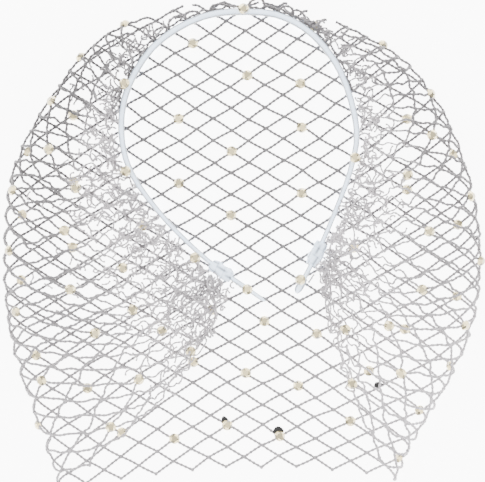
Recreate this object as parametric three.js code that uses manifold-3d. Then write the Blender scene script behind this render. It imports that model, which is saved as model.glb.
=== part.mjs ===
// Veil headband, laid flat: a satin-wrapped band and a diamond-net veil with faceted crystals.
// Millimetres. +Z is up from the surface it rests on, +Y runs from the band's tips to its crown.
import * as THREE from 'three';
import { mergeVertices } from 'three/addons/utils/BufferGeometryUtils.js';
import Module from 'manifold-3d';

// Overall size of the laid veil
const VEIL_WIDTH = 252;
const VEIL_LENGTH = 249;
const VEIL_TOP_Y = 125;

// Band
const BAND_WIDTH = 125;
const BAND_LENGTH = 150;
const BAND_TOP_Y = 120.5;
const BAND_THICK_CROWN = 3.8;
const BAND_THICK_TIP = 2.6;
const BAND_TALL_CROWN = 8.0;
const BAND_TALL_TIP = 5.0;
const BAND_STEPS = 36;
const CORNER_CUT = 0.24;

// Band tips and gather bindings
const TIP_LENGTH_LEFT = 9.0;
const TIP_WIDTH_LEFT = 2.2;
const TIP_LENGTH_RIGHT = 7.0;
const TIP_WIDTH_RIGHT = 4.2;
const BINDING_LENGTH = 13.0;
const BINDING_WIDTH = 8.0;
const BINDING_TALL = 7.8;
const BINDING_SHARE = 0.91;
const PIECE_GAP = 0.3;

// Net: the mesh of the wall is three diamonds of the real net each way
const DIAMOND_HALF_WIDTH = 9.25;
const DIAMOND_HALF_HEIGHT = 5.61;
const BAR_EVERY = 3;
const BAR_WIDTH = 4.4;
const SMALLEST_REACH = 5;
const NET_WALL = 1.4;
const NET_CENTRE_X = 12.0;
const NET_CENTRE_Y = 2.4;
const NET_CENTRE_ROW = 10;
const HEM_ROW = 32;
const SPREAD_COLUMNS = 10;
const SPREAD_ROWS = 20;
const CORNER_DROOP = 9.2;
const ROW_TWIST = 5.9;
const ROW_EASE = 1.9;
const COLUMN_LEAN = 2.0;
const CROWN_LEAN = 6.6;
const SPREAD_LIMIT = 0.95;
const RULING_SHARE = 0.337;
const TOP_ROW = -14;

// Heights of the folded net
const UNDER_HEIGHT = NET_WALL / 2;
const FOLD_RADIUS = 19.0;
const MIDDLE = NET_WALL + PIECE_GAP + BAND_TALL_CROWN / 2;
const GATHER_HANG = 50;
const GATHER_HEIGHT = MIDDLE + 1.0;
const GATHER_FROM = 0.42;
const PLEATS = 5;
const PLEAT_HEIGHT = 2.4;

// Crystals
const CRYSTAL_WIDTH = 5.2;
const CRYSTAL_TALL = 2.3;
const CRYSTAL_TABLE = 0.56;
const CRYSTAL_SIDES = 8;
const CRYSTAL_REACH = 0.72;
const OPEN_INSIDE = 46;
const EDGE_TURN = 0.45;

// Crystals of the layer below, by the two cords of the real net that cross under each.
// p: cord running down to the right; q: cord running up to the right.
const CRYSTALS_BELOW = [
  { p: -6, q: 5 }, { p: -3, q: 6 }, { p: -6, q: 2 }, { p: -3, q: 2 }, { p: 0, q: 3 },
  { p: -3, q: -2 }, { p: 1, q: 1 }, { p: 0, q: -2 }, { p: 4, q: 1 }, { p: -3, q: -6 },
  { p: 0, q: -5 }, { p: 4, q: -2 }, { p: 3, q: -5 }, { p: 1, q: -8 }, { p: 9, q: -3 },
  { p: 4, q: -8 }, { p: 9, q: -6 }, { p: 7, q: -8 }, { p: 6, q: -10 }, { p: 9, q: -9 },
  { p: 11, q: -8 }, { p: 14, q: -8 }, { p: 9, q: -13 }, { p: 12, q: -12 }, { p: 13, q: -11 },
  { p: 17, q: -8 }, { p: 16, q: -11 }, { p: 12, q: -15 }, { p: 9, q: -18 }, { p: 15, q: -14 },
  { p: 12, q: -17 }, { p: 19, q: -11 },
];

// Outline of the fold on each side, crown to hem corner.
// side: share of half the veil's width; down: share of its length; lift: share of the fold radius;
// held: share of the band's arm at which this part of the net is fastened.
const FOLD_LEFT = [
  { side: 0.18, down: 0.000, lift: 0.17, held: 0.10 },
  { side: 0.33, down: 0.020, lift: 0.20, held: 0.20 },
  { side: 0.49, down: 0.047, lift: 0.45, held: 0.30 },
  { side: 0.62, down: 0.090, lift: 0.62, held: 0.39 },
  { side: 0.765, down: 0.176, lift: 0.80, held: 0.50 },
  { side: 0.89, down: 0.280, lift: 0.95, held: 0.61 },
  { side: 0.965, down: 0.375, lift: 1.00, held: 0.72 },
  { side: 0.985, down: 0.475, lift: 1.00, held: 0.84 },
  { side: 0.985, down: 0.620, lift: 0.98, held: 1.00 },
  { side: 0.945, down: 0.740, lift: 0.88, held: 1.00 },
  { side: 0.885, down: 0.835, lift: 0.75, held: 1.00 },
  { side: 0.825, down: 0.920, lift: 0.60, held: 1.00 },
  { side: 0.765, down: 1.020, lift: 0.45, held: 1.00 },
];
const FOLD_RIGHT = [
  { side: 0.18, down: 0.000, lift: 0.17, held: 0.10 },
  { side: 0.31, down: 0.026, lift: 0.20, held: 0.20 },
  { side: 0.494, down: 0.066, lift: 0.45, held: 0.31 },
  { side: 0.70, down: 0.138, lift: 0.70, held: 0.43 },
  { side: 0.837, down: 0.238, lift: 0.88, held: 0.56 },
  { side: 0.92, down: 0.343, lift: 0.97, held: 0.69 },
  { side: 0.97, down: 0.443, lift: 1.00, held: 0.82 },
  { side: 0.983, down: 0.549, lift: 1.00, held: 0.95 },
  { side: 0.967, down: 0.644, lift: 0.95, held: 1.00 },
  { side: 0.916, down: 0.730, lift: 0.85, held: 1.00 },
  { side: 0.824, down: 0.824, lift: 0.72, held: 1.00 },
  { side: 0.72, down: 0.912, lift: 0.58, held: 1.00 },
  { side: 0.62, down: 1.020, lift: 0.45, held: 1.00 },
];

// Middle line of the band on each side, crown to tip.
// side: share of the band's width from the crown; down: share of its length.
const ARM_LEFT = [
  { side: 0.135, down: 0.010 },
  { side: 0.275, down: 0.058 },
  { side: 0.395, down: 0.140 },
  { side: 0.485, down: 0.270 },
  { side: 0.512, down: 0.400 },
  { side: 0.480, down: 0.545 },
  { side: 0.345, down: 0.710 },
  { side: 0.150, down: 0.870 },
  { side: -0.035, down: 0.980 },
];
const ARM_RIGHT = [
  { side: 0.145, down: 0.012 },
  { side: 0.275, down: 0.068 },
  { side: 0.390, down: 0.180 },
  { side: 0.457, down: 0.320 },
  { side: 0.478, down: 0.440 },
  { side: 0.450, down: 0.560 },
  { side: 0.388, down: 0.700 },
  { side: 0.318, down: 0.835 },
  { side: 0.250, down: 0.945 },
];

const UP = new THREE.Vector3(0, 0, 1);

function smooth(value, start, end) {
  const t = Math.min(1, Math.max(0, (value - start) / (end - start)));
  return t * t * (3 - 2 * t);
}

function mix(a, b, t) {
  return a + (b - a) * t;
}

function closed(geometry) {
  const bare = geometry.clone();
  bare.deleteAttribute('normal');
  bare.deleteAttribute('uv');
  return mergeVertices(bare, 1e-3);
}

// Band middle line, left tip over the crown to the right tip
function bandPoint(sign, row) {
  const x = sign * row.side * BAND_WIDTH;
  return new THREE.Vector3(x, BAND_TOP_Y - row.down * BAND_LENGTH, 0);
}

const crown = new THREE.Vector3(0, BAND_TOP_Y, 0);
const bandLine = new THREE.CatmullRomCurve3([
  ...ARM_LEFT.map((row) => bandPoint(-1, row)).reverse(),
  crown,
  ...ARM_RIGHT.map((row) => bandPoint(1, row)),
], false, 'centripetal');
bandLine.arcLengthDivisions = 600;

// Share of the band's whole line at which its crown lies
function shareAtCrown() {
  let best = 0.5;
  let nearest = Infinity;
  for (let i = 0; i <= 400; i++) {
    const gap = bandLine.getPointAt(i / 400).distanceTo(crown);
    if (gap < nearest) {
      nearest = gap;
      best = i / 400;
    }
  }
  return best;
}

const CROWN_SHARE = shareAtCrown();

// Point, direction and outward side of an arm at a share of its length from the crown
function armAt(sign, share) {
  const end = sign < 0 ? 0 : 1;
  const u = mix(CROWN_SHARE, end, share);
  const at = bandLine.getPointAt(u);
  const along = bandLine.getTangentAt(u);
  const out = new THREE.Vector3(-along.y, along.x, 0);
  return { at, along, out, share };
}

function bandThick(share) {
  return mix(BAND_THICK_CROWN, BAND_THICK_TIP, smooth(share, 0.25, 0.9));
}

function bandTall(share) {
  return mix(BAND_TALL_CROWN, BAND_TALL_TIP, smooth(share, 0.25, 0.95));
}

// Closed body through rings of points, with flat ends
function loft(rings) {
  const count = rings[0].length;
  const position = [];
  for (const ring of rings) {
    for (const point of ring) position.push(point.x, point.y, point.z);
  }
  const index = [];
  for (let i = 0; i + 1 < rings.length; i++) {
    for (let k = 0; k < count; k++) {
      const a = i * count + k;
      const b = i * count + (k + 1) % count;
      index.push(a, b, b + count, a, b + count, a + count);
    }
  }
  const last = (rings.length - 1) * count;
  for (let k = 1; k + 1 < count; k++) {
    index.push(0, k + 1, k);
    index.push(last, last + k, last + k + 1);
  }
  const body = new THREE.BufferGeometry();
  body.setAttribute('position', new THREE.Float32BufferAttribute(position, 3));
  body.setIndex(index);
  return body;
}

// Closed wall between outer and inner rings, open at both ends
function tube(outer, inner) {
  const count = outer[0].length;
  const rows = outer.length;
  const position = [];
  for (const ring of [...outer, ...inner]) {
    for (const point of ring) position.push(point.x, point.y, point.z);
  }
  const index = [];
  const wall = (a, b, c, d) => index.push(a, b, d, a, d, c);
  for (let i = 0; i + 1 < rows; i++) {
    for (let k = 0; k < count; k++) {
      const next = (k + 1) % count;
      const deep = rows * count;
      wall(i * count + k, i * count + next, (i + 1) * count + k, (i + 1) * count + next);
      wall(deep + i * count + next, deep + i * count + k,
        deep + (i + 1) * count + next, deep + (i + 1) * count + k);
    }
  }
  const last = (rows - 1) * count;
  for (let k = 0; k < count; k++) {
    const next = (k + 1) % count;
    wall(rows * count + k, rows * count + next, k, next);
    wall(last + k, last + next, rows * count + last + k, rows * count + last + next);
  }
  const body = new THREE.BufferGeometry();
  body.setAttribute('position', new THREE.Float32BufferAttribute(position, 3));
  body.setIndex(index);
  return body;
}

// Ring of a rounded oblong section across a line lying in the plane of the surface
function ringAcross(frame, thick, tall, middle, corners = 12, square = 0.45) {
  const ring = [];
  for (let k = 0; k < corners; k++) {
    const turn = (k + 0.5) / corners * Math.PI * 2;
    const c = Math.cos(turn);
    const s = Math.sin(turn);
    const x = Math.sign(c) * Math.abs(c) ** square * thick / 2;
    const z = Math.sign(s) * Math.abs(s) ** square * tall / 2;
    ring.push(frame.at.clone().addScaledVector(frame.out, x).addScaledVector(UP, middle + z));
  }
  return ring;
}

// Ring of an oblong section with its corners cut off
function oblongAcross(frame, thick, tall, middle) {
  const x = thick / 2;
  const z = tall / 2;
  const cut = CORNER_CUT * thick;
  const spots = [[x, z - cut], [x - cut, z], [cut - x, z], [-x, z - cut],
    [-x, cut - z], [cut - x, -z], [x - cut, -z], [x, cut - z]];
  return spots.map(([dx, dz]) => frame.at.clone().addScaledVector(frame.out, dx).addScaledVector(UP, middle + dz));
}

function bandGeometry() {
  const rings = [];
  for (let i = 0; i <= BAND_STEPS; i++) {
    const u = i / BAND_STEPS;
    const left = u < CROWN_SHARE;
    const share = left ? 1 - u / CROWN_SHARE : (u - CROWN_SHARE) / (1 - CROWN_SHARE);
    const frame = armAt(left ? -1 : 1, share);
    rings.push(oblongAcross(frame, bandThick(share), bandTall(share), MIDDLE));
  }
  return loft(rings);
}

// Rounded end sleeve set just past the end of an arm
function tipGeometry(sign, length, width) {
  const end = armAt(sign, 1);
  const forward = end.along.clone().multiplyScalar(sign);
  const rings = [];
  const steps = 5;
  for (let i = 0; i <= steps; i++) {
    const t = i / steps;
    const round = Math.sqrt(Math.max(0.06, 1 - Math.max(0, (t - 0.6) / 0.4) ** 2));
    const at = end.at.clone().addScaledVector(forward, PIECE_GAP + t * length);
    const frame = { at, out: end.out.clone().multiplyScalar(sign) };
    const tall = BAND_TALL_TIP * 0.8 * round;
    rings.push(ringAcross(frame, width * round, tall, MIDDLE, 8, 0.8));
  }
  return loft(rings);
}

// Lumpy wrap of satin round an arm, holding the gathered end of the net
function bindingGeometry(sign) {
  const steps = 9;
  const outer = [];
  const inner = [];
  const armLength = bandLine.getLength() * (sign < 0 ? CROWN_SHARE : 1 - CROWN_SHARE);
  const reach = BINDING_LENGTH / armLength;
  for (let i = 0; i <= steps; i++) {
    const t = i / steps;
    const frame = armAt(sign, BINDING_SHARE + (t - 0.5) * reach);
    const lumps = 0.10 * Math.sin(t * Math.PI * 5 + (sign > 0 ? 1.2 : 0));
    const swell = 0.9 + lumps - 0.22 * (2 * t - 1) ** 2;
    outer.push(ringAcross(frame, BINDING_WIDTH * swell, BINDING_TALL * swell, MIDDLE, 8, 0.7));
    const thick = bandThick(frame.share) + 4 * PIECE_GAP;
    const tall = bandTall(frame.share) + 4 * PIECE_GAP;
    inner.push(oblongAcross(frame, thick, tall, MIDDLE));
  }
  return sign < 0 ? tube(outer.reverse(), inner.reverse()) : tube(outer, inner);
}

// The fold outline as one line, left hem corner over the crown to the right hem corner
function foldRow(sign, row) {
  return {
    at: new THREE.Vector2(sign * row.side * VEIL_WIDTH / 2, VEIL_TOP_Y - row.down * VEIL_LENGTH),
    lift: row.lift,
    held: row.held * sign,
  };
}

const foldRows = [
  ...FOLD_LEFT.map((row) => foldRow(-1, row)).reverse(),
  { at: new THREE.Vector2(0, VEIL_TOP_Y), lift: 0.16, held: 0 },
  ...FOLD_RIGHT.map((row) => foldRow(1, row)),
];
const foldLine = new THREE.CatmullRomCurve3(
  foldRows.map((row) => new THREE.Vector3(row.at.x, row.at.y, row.lift)), false, 'centripetal');
const heldLine = new THREE.CatmullRomCurve3(
  foldRows.map((row) => new THREE.Vector3(row.at.x, row.at.y, row.held * 100)), false, 'centripetal');
const FOLD_SAMPLES = 220;

// Each ruling leaves the fold outline square to it, and level near the hem
function makeRulings() {
  const list = [];
  for (let i = 0; i <= FOLD_SAMPLES; i++) {
    const t = i / FOLD_SAMPLES;
    const point = foldLine.getPoint(t);
    const tangent = foldLine.getTangent(t);
    const edge = 2 * t - 1;
    let heading = Math.atan2(tangent.x, -tangent.y);
    if (edge < 0 && heading < 0) heading += 2 * Math.PI;
    heading = mix(heading, edge < 0 ? Math.PI : 0, smooth(Math.abs(edge), 0.6, 1.0));
    const out = new THREE.Vector2(Math.cos(heading), Math.sin(heading));
    const radius = FOLD_RADIUS * point.z;
    const plan = new THREE.Vector2(point.x, point.y);
    const spread = plan.clone().addScaledVector(out, (Math.PI / 2 - 1) * radius);
    const held = heldLine.getPoint(t).z / 100;
    list.push({ edge, plan, out, radius, spread, ...fastening(held, edge) });
  }
  return list;
}

// Where the net of one ruling is fastened: on the arm's outer side, or gathered at the binding
function fastening(held, edge) {
  const sign = edge < 0 ? -1 : 1;
  const share = Math.min(Math.abs(held), 1) * (BINDING_SHARE - 0.03);
  const frame = armAt(sign, share);
  const clear = bandThick(share) / 2 + PIECE_GAP + NET_WALL / 2;
  const gathered = smooth(Math.abs(edge), GATHER_FROM, 1);
  const reach = mix(clear, BINDING_WIDTH / 2 + PIECE_GAP + 1.5, smooth(Math.abs(held), 0.85, 1));
  const slide = frame.along.clone().multiplyScalar(sign * gathered * BINDING_LENGTH * 0.7);
  const at = frame.at.clone().addScaledVector(frame.out, reach).add(slide);
  return { hold: new THREE.Vector2(at.x, at.y), gathered };
}

const rulings = makeRulings();

// A crossing of the net, spread flat: columns run across, rows down from the crown
function spreadPoint(column, row) {
  const side = Math.max(-SPREAD_LIMIT, Math.min(SPREAD_LIMIT, column / SPREAD_COLUMNS));
  const down = (row - NET_CENTRE_ROW) / SPREAD_ROWS;
  const twist = ROW_TWIST * side * down * (1 - smooth(down, 0.6, 1.1));
  const y = NET_CENTRE_Y - (row - NET_CENTRE_ROW) * DIAMOND_HALF_HEIGHT
    - CORNER_DROOP * side * side * down - twist + ROW_EASE * down * down;
  const lean = COLUMN_LEAN * down + CROWN_LEAN * Math.max(0, -down - 0.2) ** 2;
  return new THREE.Vector2(NET_CENTRE_X + column * DIAMOND_HALF_WIDTH - lean, y);
}

// The ruling through a spread point, and how far outside the fold line the point lies
function rulingThrough(point) {
  const search = RULING_SHARE * VEIL_WIDTH;
  let best = null;
  for (let i = 0; i < rulings.length - 1; i++) {
    const a = rulings[i];
    const b = rulings[i + 1];
    const ha = a.out.cross(point.clone().sub(a.spread));
    const hb = b.out.cross(point.clone().sub(b.spread));
    if (ha * hb > 0) continue;
    const t = ha === hb ? 0 : ha / (ha - hb);
    const spread = a.spread.clone().lerp(b.spread, t);
    const out = a.out.clone().lerp(b.out, t).normalize();
    const past = point.clone().sub(spread).dot(out);
    if (past < -search) continue;
    if (best === null || Math.abs(past) < Math.abs(best.past)) best = { a, b, t, past, out };
  }
  if (best === null) {
    const end = point.x < 0 ? rulings[0] : rulings[rulings.length - 1];
    const past = point.clone().sub(end.spread).dot(end.out);
    best = { a: end, b: end, t: 0, past: Math.max(past, -2 * search), out: end.out.clone() };
    if (past > 1) best.past = 10 * search;
  }
  const { a, b, t } = best;
  best.plan = a.plan.clone().lerp(b.plan, t);
  best.hold = a.hold.clone().lerp(b.hold, t);
  best.radius = mix(a.radius, b.radius, t);
  best.gathered = mix(a.gathered, b.gathered, t);
  best.edge = mix(a.edge, b.edge, t);
  best.width = best.plan.distanceTo(best.hold);
  best.curl = Math.min(best.radius, 0.8 * best.width);
  const reach = best.radius * Math.PI / 2 + best.width - best.curl;
  best.reach = reach * smooth(best.width, 9, 20);
  return best;
}

// The folded place of a spread point: flat below, round the fold, and back above to the band
function folded(point) {
  const ruling = rulingThrough(point);
  const { past, radius, plan, out } = ruling;
  const turn = Math.min(Math.abs(past) / radius, Math.PI / 2);
  if (past <= 0) {
    const inset = radius * (1 - Math.cos(turn));
    const shift = out.clone().multiplyScalar(turn < Math.PI / 2 ? -past - inset - radius * (Math.PI / 2 - 1) : 0);
    const at = point.clone().add(shift);
    return new THREE.Vector3(at.x, at.y, UNDER_HEIGHT + radius * (1 - Math.sin(turn)));
  }
  const inset = ruling.curl * (1 - Math.cos(turn)) + Math.max(0, past - radius * Math.PI / 2);
  const width = Math.max(ruling.width, 0.01);
  const along = Math.min(1, inset / width);
  const middle = plan.clone().lerp(ruling.hold, 0.5);
  const hang = ruling.hold.clone().add(new THREE.Vector2(0, -GATHER_HANG));
  const bend = middle.lerp(hang, ruling.gathered);
  const at = plan.clone().lerp(bend, along).lerp(bend.clone().lerp(ruling.hold, along), along);
  const high = UNDER_HEIGHT + radius * (1 + Math.sin(turn));
  const start = ruling.curl / width;
  const down = smooth((along - start) / (1 - start), 0, 1);
  const span = (Math.abs(ruling.edge) - GATHER_FROM) / (1 - GATHER_FROM);
  const pleat = PLEAT_HEIGHT * Math.sin(span * PLEATS * 2 * Math.PI)
    * smooth(along, 0.3, 0.75) * smooth(span, 0, 0.1) * (1 - smooth(span, 0.9, 1));
  return new THREE.Vector3(at.x, at.y, mix(high, GATHER_HEIGHT, down) + pleat);
}

// The net's inner side at a spread point: up in the layer below, down in the layer above
function innerSide(point) {
  const step = 0.4;
  const east = folded(point.clone().add(new THREE.Vector2(step, 0)));
  const west = folded(point.clone().add(new THREE.Vector2(-step, 0)));
  const north = folded(point.clone().add(new THREE.Vector2(0, step)));
  const south = folded(point.clone().add(new THREE.Vector2(0, -step)));
  const normal = east.sub(west).cross(north.sub(south)).normalize();
  const ruling = rulingThrough(point);
  const flat = smooth(ruling.past, ruling.radius * 1.7, ruling.radius * 2.2);
  return normal.lerp(new THREE.Vector3(0, 0, -1), flat).normalize();
}

// Points of one side of a diamond, always worked from the same end
function sideParts(a, b) {
  const past = rulingThrough(spreadPoint((a[0] + b[0]) / 2, (a[1] + b[1]) / 2)).past;
  if (past < -31) return 1;
  return past < 31 ? 3 : 2;
}

function sidePoints(from, to) {
  const swap = from[0] > to[0] || (from[0] === to[0] && from[1] > to[1]);
  const a = swap ? to : from;
  const b = swap ? from : to;
  const list = [];
  const parts = sideParts(a, b);
  for (let i = 0; i <= parts; i++) {
    const t = i / parts;
    list.push(spreadPoint(mix(a[0], b[0], t), mix(a[1], b[1], t)));
  }
  return swap ? list.reverse() : list;
}

function beyond(point) {
  const ruling = rulingThrough(point);
  return ruling.past - ruling.reach;
}

// Where the line between two points meets the fastening line, found by halving
function meeting(p, q) {
  const swap = p.x > q.x || (p.x === q.x && p.y > q.y);
  let inside = swap ? q : p;
  let outside = swap ? p : q;
  if (beyond(inside) > 0) [inside, outside] = [outside, inside];
  let a = inside.clone();
  let b = outside.clone();
  for (let i = 0; i < 18; i++) {
    const half = a.clone().lerp(b, 0.5);
    if (beyond(half) > 0) b = half;
    else a = half;
  }
  return a;
}

function clipped(points) {
  const out = [];
  for (let i = 0; i < points.length; i++) {
    const p = points[i];
    const q = points[(i + 1) % points.length];
    const inP = beyond(p) <= 0;
    const inQ = beyond(q) <= 0;
    if (inP) out.push(p);
    if (inP !== inQ) out.push(meeting(p, q));
  }
  return out.filter((p, i) => p.distanceTo(out[(i + 1) % out.length]) > 0.02);
}

function areaOf(points) {
  let sum = 0;
  for (let i = 0; i < points.length; i++) sum += points[i].cross(points[(i + 1) % points.length]);
  return Math.abs(sum) / 2;
}

// All diamonds of the wall, as loops of spread points
function netCells() {
  const cells = [];
  const most = 12;
  for (let i = -most; i <= most; i++) {
    for (let j = -most; j <= most; j++) {
      const p = BAR_EVERY * i;
      const q = BAR_EVERY * j + 1;
      const step = BAR_EVERY;
      const corner = (dp, dq) => [p + dp + q + dq, p + dp - q - dq];
      const corners = [corner(0, 0), corner(step, 0), corner(step, step), corner(0, step)];
      if (Math.max(...corners.map((c) => c[1])) > HEM_ROW) continue;
      if (Math.min(...corners.map((c) => c[1])) < TOP_ROW) continue;
      const loop = [];
      corners.forEach((c, k) => loop.push(...sidePoints(c, corners[(k + 1) % 4]).slice(0, -1)));
      const full = areaOf(loop);
      const outline = clipped(loop);
      if (outline.length < 3) continue;
      const share = areaOf(outline) / full;
      if (share < 0.04) continue;
      cells.push({ outline, share });
    }
  }
  return cells;
}

// How far the middle of a folded diamond lies from its sides
function gapReach(outline, middle) {
  const centre = folded(middle);
  const ring = outline.map((point) => folded(point));
  let area = 0;
  let around = 0;
  for (let i = 0; i < ring.length; i++) {
    const a = ring[i].clone().sub(centre);
    const b = ring[(i + 1) % ring.length].clone().sub(centre);
    around += a.distanceTo(b);
    area += a.cross(b).length() / 2;
  }
  return 2 * area / around;
}

// One closed wall with a gap in every diamond
function netGeometry() {
  const position = [];
  const index = [];
  const known = new Map();
  const edges = new Map();
  const add = (point, side) => {
    const key = `${Math.round(point.x * 200)},${Math.round(point.y * 200)},${side}`;
    if (known.has(key)) return known.get(key);
    const at = folded(point).addScaledVector(innerSide(point), side * NET_WALL / 2);
    position.push(at.x, at.y, at.z);
    known.set(key, position.length / 3 - 1);
    return known.get(key);
  };
  const face = (a, b, c) => {
    if (a !== b && b !== c && a !== c) index.push(a, b, c);
  };
  for (const cell of netCells()) {
    let outline = cell.outline;
    let turn = 0;
    for (let i = 0; i < outline.length; i++) turn += outline[i].cross(outline[(i + 1) % outline.length]);
    if (turn < 0) outline = outline.slice().reverse();
    const middle = new THREE.Vector2();
    outline.forEach((point) => middle.addScaledVector(point, 1 / outline.length));
    const top = outline.map((point) => add(point, 1));
    const base = outline.map((point) => add(point, -1));
    const count = outline.length;
    for (let i = 0; i < count; i++) {
      const k = (i + 1) % count;
      const key = `${base[i]},${base[k]}`;
      const twin = `${base[k]},${base[i]}`;
      if (edges.has(twin)) edges.delete(twin);
      else edges.set(key, [top[i], top[k], base[i], base[k]]);
    }
    const reach = gapReach(outline, middle);
    const inner = 1 - BAR_WIDTH / 2 / reach;
    if (cell.share < 0.45 || reach < SMALLEST_REACH) {
      const high = add(middle, 1);
      const low = add(middle, -1);
      for (let i = 0; i < count; i++) {
        const k = (i + 1) % count;
        face(high, top[i], top[k]);
        face(low, base[k], base[i]);
      }
      continue;
    }
    const hole = outline.map((point) => middle.clone().lerp(point, inner));
    const holeTop = hole.map((point) => add(point, 1));
    const holeBase = hole.map((point) => add(point, -1));
    for (let i = 0; i < count; i++) {
      const k = (i + 1) % count;
      face(holeTop[i], top[i], top[k]);
      face(holeTop[i], top[k], holeTop[k]);
      face(holeBase[i], base[k], base[i]);
      face(holeBase[i], holeBase[k], base[k]);
      face(holeTop[i], holeTop[k], holeBase[i]);
      face(holeBase[i], holeTop[k], holeBase[k]);
    }
  }
  for (const [a, b, c, d] of edges.values()) {
    face(a, c, b);
    face(b, c, d);
  }
  const body = new THREE.BufferGeometry();
  body.setAttribute('position', new THREE.Float32BufferAttribute(position, 3));
  body.setIndex(index);
  return body;
}

// Flat-backed cut crystal: a table and eight facets above a round base
function crystalGeometry() {
  const r = CRYSTAL_WIDTH / 2;
  const profile = [
    new THREE.Vector2(0, 0),
    new THREE.Vector2(r, 0),
    new THREE.Vector2(r * CRYSTAL_TABLE, CRYSTAL_TALL),
    new THREE.Vector2(0, CRYSTAL_TALL),
  ];
  const body = closed(new THREE.LatheGeometry(profile, CRYSTAL_SIDES));
  body.rotateX(Math.PI / 2);
  return body;
}

// Where a crystal sits on the bar that passes under a crossing of the real net
function crystalSite(p, q) {
  const point = spreadPoint(p + q, p - q);
  const ruling = rulingThrough(point);
  const acrossP = (((q - 1) % BAR_EVERY) + BAR_EVERY) % BAR_EVERY === 0;
  const step = acrossP ? ((p % BAR_EVERY) + BAR_EVERY) % BAR_EVERY : (((q - 1) % BAR_EVERY) + BAR_EVERY) % BAR_EVERY;
  const from = acrossP ? [p - step, q] : [p, q - step];
  const to = acrossP ? [from[0] + BAR_EVERY, q] : [p, from[1] + BAR_EVERY];
  const bar = sidePoints([from[0] + from[1], from[0] - from[1]], [to[0] + to[1], to[0] - to[1]]);
  const along = step / BAR_EVERY * (bar.length - 1);
  const k = Math.min(bar.length - 2, Math.floor(along));
  const at = folded(bar[k]).lerp(folded(bar[k + 1]), along - k);
  const under = ruling.past < -ruling.radius * EDGE_TURN;
  const normal = innerSide(point).multiplyScalar(under ? 1 : -1);
  return { at, normal, ruling };
}

// On the folds and above, every third crossing both ways carries a crystal
function foldSites() {
  const sites = [];
  const most = 12;
  for (let i = -most; i <= most; i++) {
    for (let j = -most; j <= most; j++) {
      const p = BAR_EVERY * i + (i > 0 ? 1 : 0);
      const q = BAR_EVERY * j + 1;
      const row = p - q;
      if (row > HEM_ROW - 2 || row < TOP_ROW + 1) continue;
      if (CRYSTALS_BELOW.some((one) => Math.abs(one.p - p) + Math.abs(one.q - q) < BAR_EVERY)) continue;
      const site = crystalSite(p, q);
      const { past, reach } = site.ruling;
      if (past > Math.max(0, reach - 6) * CRYSTAL_REACH || past < -OPEN_INSIDE) continue;
      if (past < 0 && -past < 1.5 && reach < 1) continue;
      sites.push(site);
    }
  }
  return sites;
}

function placed(body, site, lift) {
  const turn = new THREE.Quaternion().setFromUnitVectors(UP, site.normal);
  const at = site.at.clone().addScaledVector(site.normal, lift);
  return body.clone().applyQuaternion(turn).translate(at.x, at.y, at.z);
}

const wasm = await Module();
wasm.setup();

function toSolid(geometry) {
  const body = closed(geometry);
  const mesh = new wasm.Mesh({
    numProp: 3,
    vertProperties: Float32Array.from(body.attributes.position.array),
    triVerts: Uint32Array.from(body.index.array),
  });
  mesh.merge();
  return new wasm.Manifold(mesh);
}

function fromSolid(solid) {
  const mesh = solid.getMesh();
  const body = new THREE.BufferGeometry();
  body.setAttribute('position', new THREE.Float32BufferAttribute(mesh.vertProperties, 3));
  body.setIndex(new THREE.Uint32BufferAttribute(mesh.triVerts, 1));
  return closed(body);
}

// A crystal on the net, raised until it clears the bars and what else it lies across
function seated(site, others) {
  let lift = NET_WALL / 2;
  let cut = toSolid(placed(crystalGeometry(), site, lift + 0.05));
  for (const other of others) {
    while (lift < MIDDLE + BAND_TALL_CROWN && other.intersect(cut).volume() > 0) {
      lift += 0.1;
      cut = toSolid(placed(crystalGeometry(), site, lift));
    }
  }
  return toSolid(placed(crystalGeometry(), site, lift + PIECE_GAP));
}

const satin = { color: 0xdfe6f0, roughness: 0.42, metalness: 0 };
const cord = { color: 0xd2d2d4, roughness: 0.8, metalness: 0 };
const glass = { color: 0xe6dfc6, roughness: 0.08, metalness: 0 };

const veil = new THREE.Group();

function piece(name, geometry, look) {
  const mesh = new THREE.Mesh(geometry, new THREE.MeshStandardMaterial(look));
  mesh.name = name;
  veil.add(mesh);
}

const rigid = [
  ['headband', bandGeometry()],
  ['left_tip', tipGeometry(-1, TIP_LENGTH_LEFT, TIP_WIDTH_LEFT)],
  ['right_tip', tipGeometry(1, TIP_LENGTH_RIGHT, TIP_WIDTH_RIGHT)],
  ['left_binding', bindingGeometry(-1)],
  ['right_binding', bindingGeometry(1)],
];
rigid.forEach(([name, geometry]) => piece(name, geometry, satin));

const held = rigid.map(([, geometry]) => toSolid(geometry));
let net = toSolid(netGeometry());
for (const site of foldSites()) {
  const near = toSolid(placed(crystalGeometry(), site, NET_WALL / 2 + PIECE_GAP));
  if (held.some((other) => other.intersect(near).volume() > 0)) continue;
  net = net.add(toSolid(placed(crystalGeometry(), site, NET_WALL / 2 - 0.15)));
}
piece('veil_net', fromSolid(net), cord);
const others = [net, ...held, net];
CRYSTALS_BELOW.map(({ p, q }) => crystalSite(p, q)).forEach((site, i) => {
  const name = `crystal_${String(i + 1).padStart(2, '0')}`;
  piece(name, fromSolid(seated(site, others)), glass);
});

// The origin is the middle of the underside of the whole part
const bounds = new THREE.Box3().setFromObject(veil);
const middle = bounds.getCenter(new THREE.Vector3());
veil.traverse((mesh) => {
  if (mesh.isMesh) mesh.geometry.translate(-middle.x, -middle.y, -bounds.min.z);
});

export default veil;
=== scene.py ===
"""Veil headband laid flat: a satin-wrapped band, a veil of knotted twisted cord, and cut crystals."""

import math

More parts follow.
